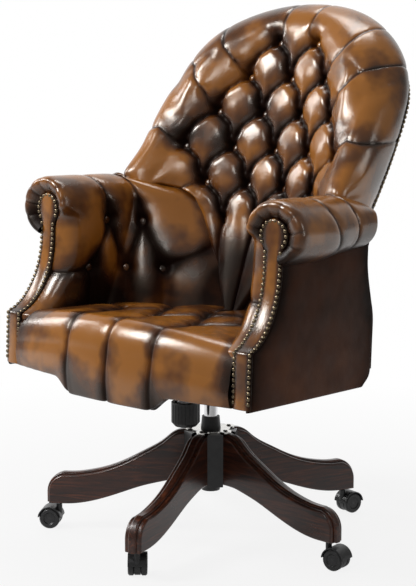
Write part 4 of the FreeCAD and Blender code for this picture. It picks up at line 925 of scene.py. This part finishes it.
# %% [markdown]
# ## The seat
# The seat's hide starts behind, runs forward over three rows of buttons, turns over the bowed front
# and is tacked under its lower edge. The front buttons' folds go on down the front as flutes. Each
# column of the grid follows that path, so the fold lines can be given in flat lengths along it.

# %% Seat path
SEAT_PITCH = 112.0
SEAT_REAR = 122.0
SEAT_ROWS = (108.0, 198.0, 288.0)
SEAT_SINK = 22.0
SEAT_FRONT = -303.0
FRONT_BOW = 34.0
FRONT_HALF = 289.0
BROW_IN = 40.0
BROW_DROP = 62.0
BROW_RUN = 80.0         # lengths of hide: round the brow, down the front and tucked under it
APRON_RUN = 100.0
TUCK_RUN = 18.0


def seat_crown(x, y):
    return 480 - 22 * (x / 283) ** 2 - 11 * smooth((y + 90) / 180)


def seat_half(y):
    beside_arm = 256 - math.tan(ARM_TOE) * (y + 220)
    return mix(284, beside_arm, smooth((y + 262) / 24))


def seat_path(share_x, run):
    """The place of a point so far along the hide, counted from the rear edge."""
    front = SEAT_FRONT + FRONT_BOW * share_x ** 2
    top_run = SEAT_REAR - (front + BROW_IN)
    y = SEAT_REAR - np.minimum(run, top_run)
    x = share_x * mix(seat_half(y), FRONT_HALF, smooth((run - top_run + 12) / 60))
    z = seat_crown(x, y)
    turn = np.clip((run - top_run) / BROW_RUN, 0, 1) * np.pi / 2
    y = y - BROW_IN * np.sin(turn)
    z = z - BROW_DROP * (1 - np.cos(turn))
    low = mix(317, 346, smooth((np.abs(x) - 106) / 48))
    drop = np.clip((run - top_run - BROW_RUN) / APRON_RUN, 0, 1)
    under = np.clip((run - top_run - BROW_RUN - APRON_RUN) / TUCK_RUN, 0, 1)
    z = mix(z, low, drop)
    y = y - 5 * np.sin(np.pi * drop) + 3 * drop + 16 * under
    return np.stack([x, y, z], axis=1)


print("seat front at", SEAT_FRONT, "mm, hide turned over the brow in", BROW_RUN, "mm")


# %% Seat folds
def seat_buttons():
    places = []
    for run, count in zip(SEAT_ROWS, (3, 4, 3)):
        places += [((k - (count - 1) / 2) * SEAT_PITCH, run) for k in range(count)]
    return places


def seat_folds():
    places = seat_buttons()
    folds = []
    for x0, m0 in places:
        for x1, m1 in places:
            if 1 < m1 - m0 < 95 and abs(abs(x0 - x1) - SEAT_PITCH / 2) < 1:
                folds.append(((x0, m0), (x1, m1), SEAT_SINK, 12, SEAT_SINK, 46))
    for x, m in places:
        if m == SEAT_ROWS[2]:
            folds.append(((x, m), (x * 1.01, 360), SEAT_SINK, 10, 5, 48))
            folds.append(((x * 1.01, 360), (x * 1.02, 440), 5, 4, 3, 30))
            folds.append(((x * 1.02, 440), (x, 600), 3, 3, 1, 26))
        if m == SEAT_ROWS[0]:
            folds.append(((x, m), (x, -20), SEAT_SINK, 12, 8, 50))
        if abs(x) > 1.4 * SEAT_PITCH:
            folds.append(((x, m), (x * 1.6, m), SEAT_SINK, 8, 5, 46))
    return folds


print("seat folds:", len(seat_folds()))


# %% Seat
def buttoned_seat():
    shares = np.linspace(-1, 1, 97)
    runs = np.arange(0, 590, 5.5)
    run, share = np.meshgrid(runs, shares, indexing="ij")
    points = seat_path(share.ravel(), run.ravel())
    faces = [face[::-1] for face in grid_faces(len(runs), len(shares))]
    piece = sheet_mesh("buttoned_seat", points, faces)
    x = points[:, 0]
    m = run.ravel()
    depth = fold_depth(x, m, seat_folds())
    depth = np.maximum(depth, well_depth(x, m, seat_buttons(), SEAT_SINK + 2, 13))
    press_in(piece, depth)
    edge = (np.abs(share.ravel()) > 0.99) | (m < 6) | (m > 570)
    puff_up(piece, np.maximum(smooth((depth - 9) / 8), edge), 4.0, 7)
    # Darker along the folds, partly the dye left in the valleys and partly painted shade; painted shade
    # also lies in bands beside the front flutes, on the lower front, at the rear by the back and along
    # the sides by the arms.
    rub_and_shade = CROWN_RUB - fold_nearness(x, m, seat_folds()) ** 3
    for flute in (-SEAT_PITCH, 0, SEAT_PITCH):
        rub_and_shade -= 0.5 * np.exp(-((x - flute) / 20) ** 2) * smooth((m - 320) / 60)
    rub_and_shade -= 0.25 * smooth((m - 480) / 120) + 0.5 * smooth((100 - m) / 100)
    rub_and_shade -= 0.5 * smooth((np.abs(share.ravel()) - 0.84) / 0.16)
    set_rub_and_shade(piece, rub_and_shade)
    keep_flat(piece, x, m)
    finer(piece)
    tighten(piece, seat_folds(), 2.6, 7)
    lean(piece)
    dress(piece, TAN, "seat_pad")


buttoned_seat()

# %% [markdown]
# ## The arms
# Each inside arm is one hide too: up from the seat, over the scroll roll and down to the seam under
# it. At the front it is gathered round the scroll, and behind it turns the corner to meet the back.
# One arm is shaped and the other is its mirror image.

# %% Arm section
ARM_X = 307.0
ARM_IN = 252.0
ROLL_R = 62.0
ROLL_OUT = 1.16
ROLL_TURN = 252.0
ROLL_REAR_R = 52.0
ROLL_Z = 666.0
WALL_LOW = 440.0
FACE_Y = -262.0
FACE_SWEEP = 84.0
FACE_THICK = 5.0
SCROLL_R = 33.0
SCROLL_Z = 661.0
MOUTH = 34.0
LIP = 15.0
LOBE_PUFF = 20.0
ARM_END = 88.0
ARM_ROUND = 30.0
ARM_SINK = 15.0
STRIP_HALF = 22.0       # half the width of the facing's strip
FACE_BEND_Z = 454.0     # the facing is upright below this and sweeps back over the next stretch
FACE_BEND = 146.0


def face_y(z):
    t = np.clip((z - FACE_BEND_Z) / FACE_BEND, 0, 1)
    return FACE_Y + FACE_SWEEP * (1 - (1 - t) ** 2) ** 0.65


def toe_in(points):
    out = points.copy()
    dx = points[:, 0] - ARM_X
    dy = points[:, 1] - (FACE_Y + FACE_SWEEP / 2)
    out[:, 0] = ARM_X + dx * math.cos(ARM_TOE) - dy * math.sin(ARM_TOE)
    out[:, 1] = FACE_Y + FACE_SWEEP / 2 + dx * math.sin(ARM_TOE) + dy * math.cos(ARM_TOE)
    return out


def roll_at(y):
    """The roll's radius and the height of its centre: it gets slimmer towards the back."""
    taper = smooth((y + 94) / 182)
    return mix(ROLL_R, ROLL_REAR_R, taper), ROLL_Z + (ROLL_R - ROLL_REAR_R) * taper


def past_crown(climb):
    """0 on the sitter's side of the roll, 1 on its outer side."""
    return smooth((climb - 1.375) / 0.25)


def arm_path(climb, y):
    """Across the arm: climb runs from 0 at the seat to 1 at the roll's inner side and 2 under it."""
    rounding = 1 - np.sqrt(1 - np.clip((y - ARM_END + ARM_ROUND) / ARM_ROUND, 0, 1) ** 2)
    r, centre = roll_at(y)
    r = r * (1 - mix(0.5, 0.98, past_crown(climb)) * rounding)
    up = np.clip(climb, 0, 1)
    turn = np.pi - np.clip(climb - 1, 0, 1) * np.radians(ROLL_TURN)
    wall_x = mix(ARM_IN, ARM_X - r, smooth(up)) - 7 * np.sin(np.pi * up)
    wall_z = mix(WALL_LOW, centre, up)
    on_roll = climb > 1
    wide = np.where(np.cos(turn) > 0, ROLL_OUT, 1.0)
    x = np.where(on_roll, ARM_X + r * wide * np.cos(turn), wall_x)
    z = np.where(on_roll, centre + r * np.sin(turn), wall_z)
    return x, z, centre + r * (np.pi - turn)


print("arm roll of", ROLL_R, "mm, slimmer behind:", ROLL_REAR_R, "mm")


# %% Arm ends
def facing_rim(climb):
    """Where the front edge of the hide is tacked: up beside the strip and round the scroll."""
    up = np.clip(climb, 0, 1)
    turn = np.pi - np.clip(climb - 1, 0, 1) * np.radians(ROLL_TURN)
    strip_x = mix(ARM_X - STRIP_HALF, ARM_X - SCROLL_R, smooth((up - 0.82) / 0.18))
    strip_z = mix(WALL_LOW, SCROLL_Z, up)
    on_roll = climb > 1
    x = np.where(on_roll, ARM_X + SCROLL_R * np.cos(turn), strip_x)
    z = np.where(on_roll, SCROLL_Z + SCROLL_R * np.sin(turn), strip_z)
    return x, z


def arm_corner(climb, z):
    """Where the hide ends on the back: along the V inside, straight on for the roll's outer half."""
    over = past_crown(climb)
    x = np.minimum(corner_x(z), 300)
    y = back_crown(x, z) + 14
    return x, mix(y, ARM_END, over), over


def arm_points(climb, run):
    """run is -1 at the facing, 0 behind the rounded mouth, 1 at the corner and 2 on the back."""
    _, z, _ = arm_path(climb, np.full(len(climb), FACE_Y))
    rolled = smooth((climb - 0.92) / 0.1)
    edge = face_y(z) + FACE_THICK
    front = edge + mix(MOUTH, 3.0, rolled)
    corner = np.minimum(-10 + 0.35 * (z - 606), 10)
    y = mix(front, corner, np.clip(run, 0, 1))
    past = np.clip(run - 1, 0, 1)
    x, z, height = arm_path(climb, y + past * (ARM_END - y))
    rim_x, rim_z = facing_rim(climb)
    round_in = np.clip(-run, 0, 1) * np.pi / 2
    x = mix(x, rim_x, 1 - np.cos(round_in))
    z = mix(z, rim_z, 1 - np.cos(round_in))
    lip = LIP * rolled * np.sin(2 * round_in) ** 0.8
    mouth_y = np.where(run < 0, mix(front, edge, np.sin(round_in)) - lip, y)
    start = toe_in(np.stack([x, mouth_y, z], axis=1))
    end_x, end_y, over = arm_corner(climb, z)
    swing = past * np.pi / 2
    points = start.copy()
    puff = LOBE_PUFF * np.sin(np.pi * past) * (1 - over)
    bend_x = end_x + (start[:, 0] - end_x) * np.cos(swing)
    lobe_x = mix(bend_x, mix(start[:, 0], end_x, past) - 0.6 * puff, 0.7)
    bend_y = start[:, 1] + (end_y - start[:, 1]) * np.sin(swing)
    lobe_y = mix(bend_y, mix(start[:, 1], end_y, past) - 0.8 * puff, 0.7)
    points[:, 0] = mix(lobe_x, start[:, 0], over)
    points[:, 1] = mix(lobe_y, bend_y, over)
    length = 0.78 * (np.abs(start[:, 0] - end_x) + np.abs(end_y - start[:, 1]))
    flat_y = np.where(run < 0, mouth_y, y + past * length)
    return points, flat_y, np.where(climb > 1, height, z)


print("arm ends: gathered in front, turned to the back behind")


# %% Arm folds
PLEAT_ANGLES = (18, 47, 78, 108, 140, 172, 205)
PLEAT_WIDTH = 3.2
PLEAT_DEPTH = 2.2


def arm_buttons():
    return [(-104.0, 539.0), (-16.0, 539.0), (74.0, 543.0), (-55.0, 636.0), (28.0, 636.0)]


def arm_folds():
    """The zigzag between the buttons, the folds over the roll and those down to the seat."""
    low_front, low_middle, low_rear, high_front, high_rear = arm_buttons()
    folds = []
    zigzag = (low_front, high_front, low_middle, high_rear, low_rear)
    for one, other in zip(zigzag, zigzag[1:]):
        folds.append((one, other, ARM_SINK, 9, ARM_SINK, 44))
    for y, z in (high_front, high_rear):
        side = (y - 6, ROLL_Z + 20)
        top = (y - 22, ROLL_Z + 100)
        outer = (y - 18, ROLL_Z + 150)
        folds.append(((y, z), side, ARM_SINK, 11, 7, 48))
        folds.append((side, top, 7, 5, 3, 34))
        folds.append((top, outer, 3, 3, 3, 22))
        folds.append((outer, (y + 14, ROLL_Z + 235), 3, 3, 3, 22))
    for y, z in (low_front, low_middle, low_rear):
        folds.append(((y, z), (y, WALL_LOW - 20), ARM_SINK, 9, 7, 44))
    folds.append((low_front, (-280.0, 526.0), ARM_SINK, 6, 5, 30))
    folds.append((low_rear, (230.0, 600.0), ARM_SINK, 8, 7, 40))
    return folds


def gathers(climb, run):
    """How deep the small pleats are where the hide is gathered round the scroll."""
    near = smooth((0.04 - run) / 0.3) * smooth((climb - 0.9) / 0.15)
    turn = (climb - 1) * ROLL_TURN
    pleats = np.zeros(len(climb))
    for angle in PLEAT_ANGLES:
        pleats = np.maximum(pleats, np.exp(-((turn - angle) / PLEAT_WIDTH) ** 2))
    return PLEAT_DEPTH * pleats * near


print("arm folds:", len(arm_folds()), "and", len(PLEAT_ANGLES), "pleats")


# %% Arms
def inside_arm(side):
    climbs = np.concatenate([np.linspace(0, 1, 40), np.linspace(1, 2, 48)[1:]])
    runs = np.concatenate([np.linspace(-1, 0, 9), np.linspace(0, 1, 36)[1:], np.linspace(1, 2, 30)[1:]])
    run, climb = np.meshgrid(runs, climbs, indexing="ij")
    run = run.ravel()
    climb = climb.ravel()
    points, flat_y, flat_z = arm_points(climb, run)
    faces = grid_faces(len(runs), len(climbs))
    piece = sheet_mesh("inside_arm_" + side, points, faces)
    depth = fold_depth(flat_y, flat_z, arm_folds())
    depth = np.maximum(depth, well_depth(flat_y, flat_z, arm_buttons(), ARM_SINK + 6, 15))
    depth = depth + gathers(climb, run)
    press_in(piece, depth)
    edge = (run < -0.9) | (run > 1.97) | (climb < 0.03) | (climb > 1.97)
    puff_up(piece, np.maximum(smooth((depth - 6) / 6), edge), 3.0, 5)
    # Darker along the folds and round the buttons, partly the dye left in the valleys and partly painted
    # shade; painted shade also darkens the roll's underside, the wall low down behind, the gathers round
    # the scroll and the corner where the arm meets the back.
    rub_and_shade = CROWN_RUB - fold_nearness(flat_y, flat_z, arm_folds()) ** 3
    rub_and_shade -= well_depth(flat_y, flat_z - 10, arm_buttons(), 0.6, 26)
    shade_under_roll = 0.75 * smooth((climb - 1.62) / 0.36)
    shade_low_behind = 0.8 * smooth((0.6 - climb) / 0.42) * smooth((run + 0.1) / 0.8)
    round_scroll = 0.55 * smooth((-run - 0.45) / 0.5) * smooth((climb - 0.9) / 0.1)
    rub_and_shade -= shade_under_roll + shade_low_behind
    rub_and_shade -= round_scroll + 0.1 * gathers(climb, run)
    rub_and_shade -= 0.6 * smooth((run - 1.75) / 0.25)
    set_rub_and_shade(piece, rub_and_shade)
    if side == "left":
        shaped = point_array(piece) / MM
        normals = outward(piece)
        for a, b in arm_buttons():
            at = np.argmin(np.hypot(flat_y - a, flat_z - b))
            arm_wells.append((shaped[at], normals[at]))
    keep_flat(piece, flat_y, flat_z)
    finer(piece)
    tighten(piece, arm_folds(), 2.6, 7)
    lean(piece, side == "right")
    dress(piece, TAN, "arm_pad_" + side)


SIDES = ("left", "right")
arm_wells = []
for side in SIDES:
    inside_arm(side)

# %% [markdown]
# ## Facings
# A narrow padded strip covers each arm's front, straight at first, then swept back, and ends in the
# scroll. It is thickest along its middle, and a row of nails holds each edge.

# %% Facings
STRIP_LOW = 346.0
STRIP_FOLD_Z = 456.0    # the cross fold where the strip bends back
STRIP_CROWN = 6.5
STRIP_WALL = 0.003


def strip_half(z):
    disc = np.sqrt(np.clip(SCROLL_R ** 2 - (z - SCROLL_Z) ** 2, 0, None))
    return np.where(z < SCROLL_Z, np.maximum(STRIP_HALF, disc), disc)


def strip_points(z, share, lift):
    half = strip_half(z)
    x = ARM_X + half * share
    y = face_y(z) + lift
    return np.stack([x, y, z], axis=1)


def padded_facing(side):
    round_scroll = SCROLL_Z - SCROLL_R * np.cos(np.linspace(0.12, 0.99, 18) * np.pi)
    levels = np.concatenate([np.arange(STRIP_LOW, 628, 4.0), round_scroll])
    shares = np.sin(np.linspace(-1, 1, 17) * np.pi / 2)
    level, share = np.meshgrid(levels, shares, indexing="ij")
    level = level.ravel()
    share = share.ravel()
    crown = STRIP_CROWN * np.sqrt(np.clip(1 - share ** 2, 0, 1)) * np.minimum(1, strip_half(level) / 14)
    fold = 2.2 * np.exp(-((level - STRIP_FOLD_Z) / 4.0) ** 2)
    points = strip_points(level, share, FACE_THICK - crown + fold)
    rim = np.abs(share) > 0.999
    piece = sheet_mesh("facing_" + side, toe_in(points), grid_faces(len(levels), len(shares)))
    # Darker towards the strip's edges, in its cross fold and on its rims: the rubbed-back tone with
    # painted shade in it.
    rub_and_shade = 0.95 - 0.75 * smooth((np.abs(share) - 0.35) / 0.5)
    rub_and_shade = rub_and_shade - 0.5 * np.exp(-((level - STRIP_FOLD_Z) / 7.0) ** 2)
    set_rub_and_shade(piece, np.where(rim, 0.05, rub_and_shade))
    lean(piece, side == "right")
    only(piece)
    wall = piece.modifiers.new("wall", "SOLIDIFY")
    wall.thickness = STRIP_WALL
    wall.offset = -1
    bpy.ops.object.modifier_apply(modifier="wall")
    finer(piece)
    dress(piece, TAN, "arm_facing_" + side)


for side in SIDES:
    padded_facing(side)

# %% [markdown]
# ## Plain outside panels
# The sides and the outside back are plain dark hides over thin wadding. Each is a grid stretched
# over its outline, swollen a little in the middle, with its rim turned in out of sight.

# %% Outside arms
SIDE_X = 327.5
SIDE_RIM_X = 318.5
SEAM_ANGLE = math.radians(60)


def side_top(y):
    """The height of the seam under the roll."""
    r, centre = roll_at(y)
    return centre - r * math.sin(SEAM_ANGLE) + 4


def side_rear(z):
    """The depth of the panel's rear edge, with its lower corner rounded off."""
    return mix(141.5, 116, tub_share(z)) - 26 * np.clip((378 - z) / 32, 0, 1) ** 2.5


def outside_arm(side):
    rows = np.concatenate([[0.0], np.linspace(0, 1, 49), [1.0]])
    columns = np.concatenate([[0.0], np.linspace(0, 1, 57), [1.0]])
    up, along = np.meshgrid(rows, columns, indexing="ij")
    up = up.ravel()
    along = along.ravel()
    rough_y = mix(FACE_Y, 130, along)
    z = mix(STRIP_LOW - 4, side_top(rough_y), up)
    y = mix(face_y(z) + 3, side_rear(z), along)
    row, column = np.divmod(np.arange(len(up)), len(columns))
    rim = (column == 0) | (column == len(columns) - 1) | (row == 0) | (row == len(rows) - 1)
    swell = 3.0 * (16 * up * (1 - up) * along * (1 - along)) ** 0.4
    shelf = 45 * smooth((rough_y - 40) / 40) * (up > 0.99)
    x = np.where(rim, SIDE_RIM_X - shelf, SIDE_X + swell)
    piece = sheet_mesh("outside_arm_hide_" + side, toe_in(np.stack([x, y, z], axis=1)),
                       grid_faces(len(rows), len(columns)))
    # Darker towards the front and rear edges, and painted shade darkens the panel towards the top, under
    # the roll.
    set_rub_and_shade(piece, 0.55 - 0.5 * (np.abs(along - 0.5) * 2) ** 6 - 0.25 * up)
    lean(piece, side == "right")
    finer(piece)
    dress(piece, UMBER, "outside_arm_" + side)


for side in SIDES:
    outside_arm(side)


# %% Outside back
WRAP = 0.98 * math.pi / 2


def tub_half(z):
    """Half the width of the outside back."""
    upper = np.interp(z, OUT_Z[:HALF], OUT_X[:HALF]) - EDGE_IN
    low = mix(298, 290, tub_share(z))
    rise = np.clip((z - SHOULDER_Z) / (BACK_TOP - TOP_IN - SHOULDER_Z), 0, 1)
    arc = (SHOULDER_W - EDGE_IN) * (1 - rise ** SHOULDER_POWER) ** (1 / SHOULDER_POWER)
    upper = np.where(z > SHOULDER_Z, arc, upper)
    return mix(low, upper, smooth((z - 616) / 60))


def outside_back():
    levels = STRIP_LOW + (BACK_TOP - TOP_IN - 1.5 - STRIP_LOW) * np.sin(np.linspace(0, 1, 90) * np.pi / 2)
    across = np.sin(np.linspace(-1, 1, 65) * WRAP) / math.sin(WRAP)
    shares = np.concatenate([[-1.0, -1.0], across, [1.0, 1.0]])
    level, share = np.meshgrid(levels, shares, indexing="ij")
    level = level.ravel()
    share = share.ravel()
    index = np.arange(len(level)) % len(shares)
    flange = (index == 0) | (index == len(shares) - 1)
    rim = (index == 1) | (index == len(shares) - 2)
    tuck = 68 * smooth((710 - level) / 40) * flange
    x = share * (tub_half(level) - 0.2 * tuck)
    swell = 4.0 * (1 - np.abs(share) ** 4)
    y = rear_depth(x, level) + np.where(rim | flange, -2.0, 6.0 + swell) - tuck
    lifted = 30 * smooth((STRIP_LOW + 40 - level) / 40) * smooth((np.abs(share) - 0.8) / 0.2)
    piece = sheet_mesh("outside_back_hide", np.stack([x, y, level + lifted], axis=1),
                       [face[::-1] for face in grid_faces(len(levels), len(shares))])
    # Darker towards the sides, where the panel wraps round.
    set_rub_and_shade(piece, 0.6 - 0.45 * np.abs(share) ** 6)
    lean(piece)
    finer(piece)
    dress(piece, UMBER, "outside_back")


outside_back()

# %% [markdown]
# ## Buttons and nails
# Every button is the same covered dome, sunk to its rim at the bottom of its well. The nails are one
# low dome too. Both are modelled once with the ordinary mesh tools and copied along their places.

# %% Domes
def dome(name, radius, height, rings, segments):
    """A cap of a ball, rim at z = 0, crown up the z axis."""
    bpy.ops.object.select_all(action="DESELECT")
    bpy.ops.mesh.primitive_uv_sphere_add(segments=segments, ring_count=2 * rings, radius=radius * MM)
    cap = bpy.context.active_object
    cap.name = name
    bpy.ops.object.mode_set(mode="EDIT")
    bpy.ops.mesh.select_all(action="SELECT")
    bpy.ops.mesh.bisect(plane_co=(0, 0, 0), plane_no=(0, 0, 1), clear_inner=True, use_fill=True)
    bpy.ops.object.mode_set(mode="OBJECT")
    cap.scale = (1, 1, height / radius)
    bpy.ops.object.transform_apply(location=False, rotation=False, scale=True)
    bpy.ops.object.shade_smooth_by_angle(angle=math.radians(50))
    return cap


def planted(master, name, places, directions):
    """Copies of the master on every place, joined to one piece in the scene's own axes."""
    copies = []
    for place, direction in zip(places, directions):
        one = master.copy()
        one.data = master.data.copy()
        turn = Vector(direction).to_track_quat("Z", "Y").to_matrix().to_4x4()
        turn.translation = Vector(place * MM)
        one.data.transform(turn)
        scene.collection.objects.link(one)
        copies.append(one)
    bpy.ops.object.select_all(action="DESELECT")
    for one in copies:
        one.select_set(True)
    bpy.context.view_layer.objects.active = copies[0]
    bpy.ops.object.join()
    group = bpy.context.active_object
    group.name = name
    return group


def leaned_direction(direction):
    x, y, z = direction
    return (x, y * math.cos(RAKE) + z * math.sin(RAKE), -y * math.sin(RAKE) + z * math.cos(RAKE))


print("domes: capped balls, copied and joined")


# %% Buttons
BUTTON_R = 11.0
BUTTON_HIGH = 6.5


def button_places():
    """Where the buttons sit and which way they face: back, seat, then both arms."""
    places = []
    ways = []
    for x, z in back_buttons():
        drawn = gathered(x, z)
        y = back_crown(drawn, z) + DRAW_BACK * BUTTON_SINK - 1
        places.append((drawn, y, z - DRAW_DOWN * BUTTON_SINK))
        ways.append((0.0, -1.0, FIELD_LEAN))
    for x, run in seat_buttons():
        y = SEAT_REAR - run
        places.append((x, y, seat_crown(x, y) - SEAT_SINK + 1))
        ways.append((0.0, 0.0, 1.0))
    for place, way in arm_wells:
        for side in (1, -1):
            places.append((side * place[0], place[1], place[2]))
            ways.append((side * way[0], way[1], way[2]))
    return lean_back(np.array(places)), [leaned_direction(way) for way in ways]


button_master = dome("button_master", BUTTON_R, BUTTON_HIGH, 5, 20)
places, ways = button_places()
buttons = planted(button_master, "covered_buttons", places, ways)
set_rub_and_shade(buttons, np.full(len(buttons.data.vertices), 0.5))
buttons.data.materials.append(TAN)
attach(buttons, "seat")
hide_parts("upholstery_buttons")
bpy.data.objects.remove(button_master)
print("buttons:", len(places))


# %% Nail lines
NAIL_R = 4.3
NAIL_HIGH = 2.8
NAIL_PITCH = 9.9
NAIL_INSET = 4.5


def run_length(path):
    """The length of a polyline from its start to each of its points."""
    steps = np.linalg.norm(np.diff(path, axis=0), axis=1)
    return np.concatenate([[0], np.cumsum(steps)])


def at_lengths(at, run, values):
    return np.stack([np.interp(at, run, values[:, axis]) for axis in range(3)], axis=1)


def spaced(path, pitch):
    """Points at equal steps along a polyline."""
    run = run_length(path)
    count = int(run[-1] // pitch)
    return at_lengths(np.linspace(pitch / 2, run[-1] - pitch / 2, count), run, path)


def facing_nail_path(edge):
    """Up one edge of the strip, to where the scroll's own row begins."""
    z = np.linspace(STRIP_LOW + 8, SCROLL_Z - 26, 90)
    return np.stack([np.full(90, ARM_X + edge * (STRIP_HALF - NAIL_INSET)), face_y(z), z], axis=1)


def scroll_nail_path():
    turn = np.radians(np.linspace(215, -48, 80))
    r = SCROLL_R - NAIL_INSET
    z = SCROLL_Z + r * np.sin(turn)
    return np.stack([ARM_X + r * np.cos(turn), face_y(z), z], axis=1)


print("nail lines:", NAIL_PITCH, "mm from nail to nail")


# %% Nails
def facing_nails(side):
    paths = (facing_nail_path(-1), facing_nail_path(1), scroll_nail_path())
    places = np.concatenate([spaced(path, NAIL_PITCH) for path in paths])
    slope = (face_y(places[:, 2] + 1) - face_y(places[:, 2] - 1)) / 2
    ways = np.stack([np.zeros(len(places)), -np.ones(len(places)), slope], axis=1)
    places = lean_back(toe_in(places + np.array([0, 0.5, 0])))
    if side == "right":
        places = places * np.array([-1, 1, 1])
    return planted(nail_master, "facing_nails_" + side, places, [leaned_direction(way) for way in ways])


def back_nails():
    """One row round the back's edge, just outside the nail line."""
    on = NAIL_Z > 640
    path = np.stack([NAIL_X, NAIL_Y, NAIL_Z], axis=1)[on]
    n = np.stack([OUT_NX, np.zeros(len(OUT_NX)), OUT_NZ], axis=1)[on]
    high = smooth((path[:, 2:] - 800) / 80)
    path = path + n * 1.5 + np.array([0, 3.0, 0]) * high
    run = run_length(path)
    at = np.arange(NAIL_PITCH / 2, run[-1], NAIL_PITCH)
    places = at_lengths(at, run, path)
    ways = at_lengths(at, run, n) + np.array([0, 0.5, 0])
    return planted(nail_master, "back_nails", lean_back(places), [leaned_direction(way) for way in ways])


nail_master = dome("nail_master", NAIL_R, NAIL_HIGH, 3, 10)
nail_rows = [facing_nails("left"), facing_nails("right"), back_nails()]
for row in nail_rows:
    row.data.materials.append(BRASS)
    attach(row, "seat")
    print(row.name, len(row.data.polygons), "faces")
bpy.data.objects.remove(nail_master)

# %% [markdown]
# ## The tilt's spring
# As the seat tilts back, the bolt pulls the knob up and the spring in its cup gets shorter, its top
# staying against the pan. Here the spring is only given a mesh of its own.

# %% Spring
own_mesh(bpy.data.objects["tension_spring"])

# %% Finish
print("the scene is dressed")
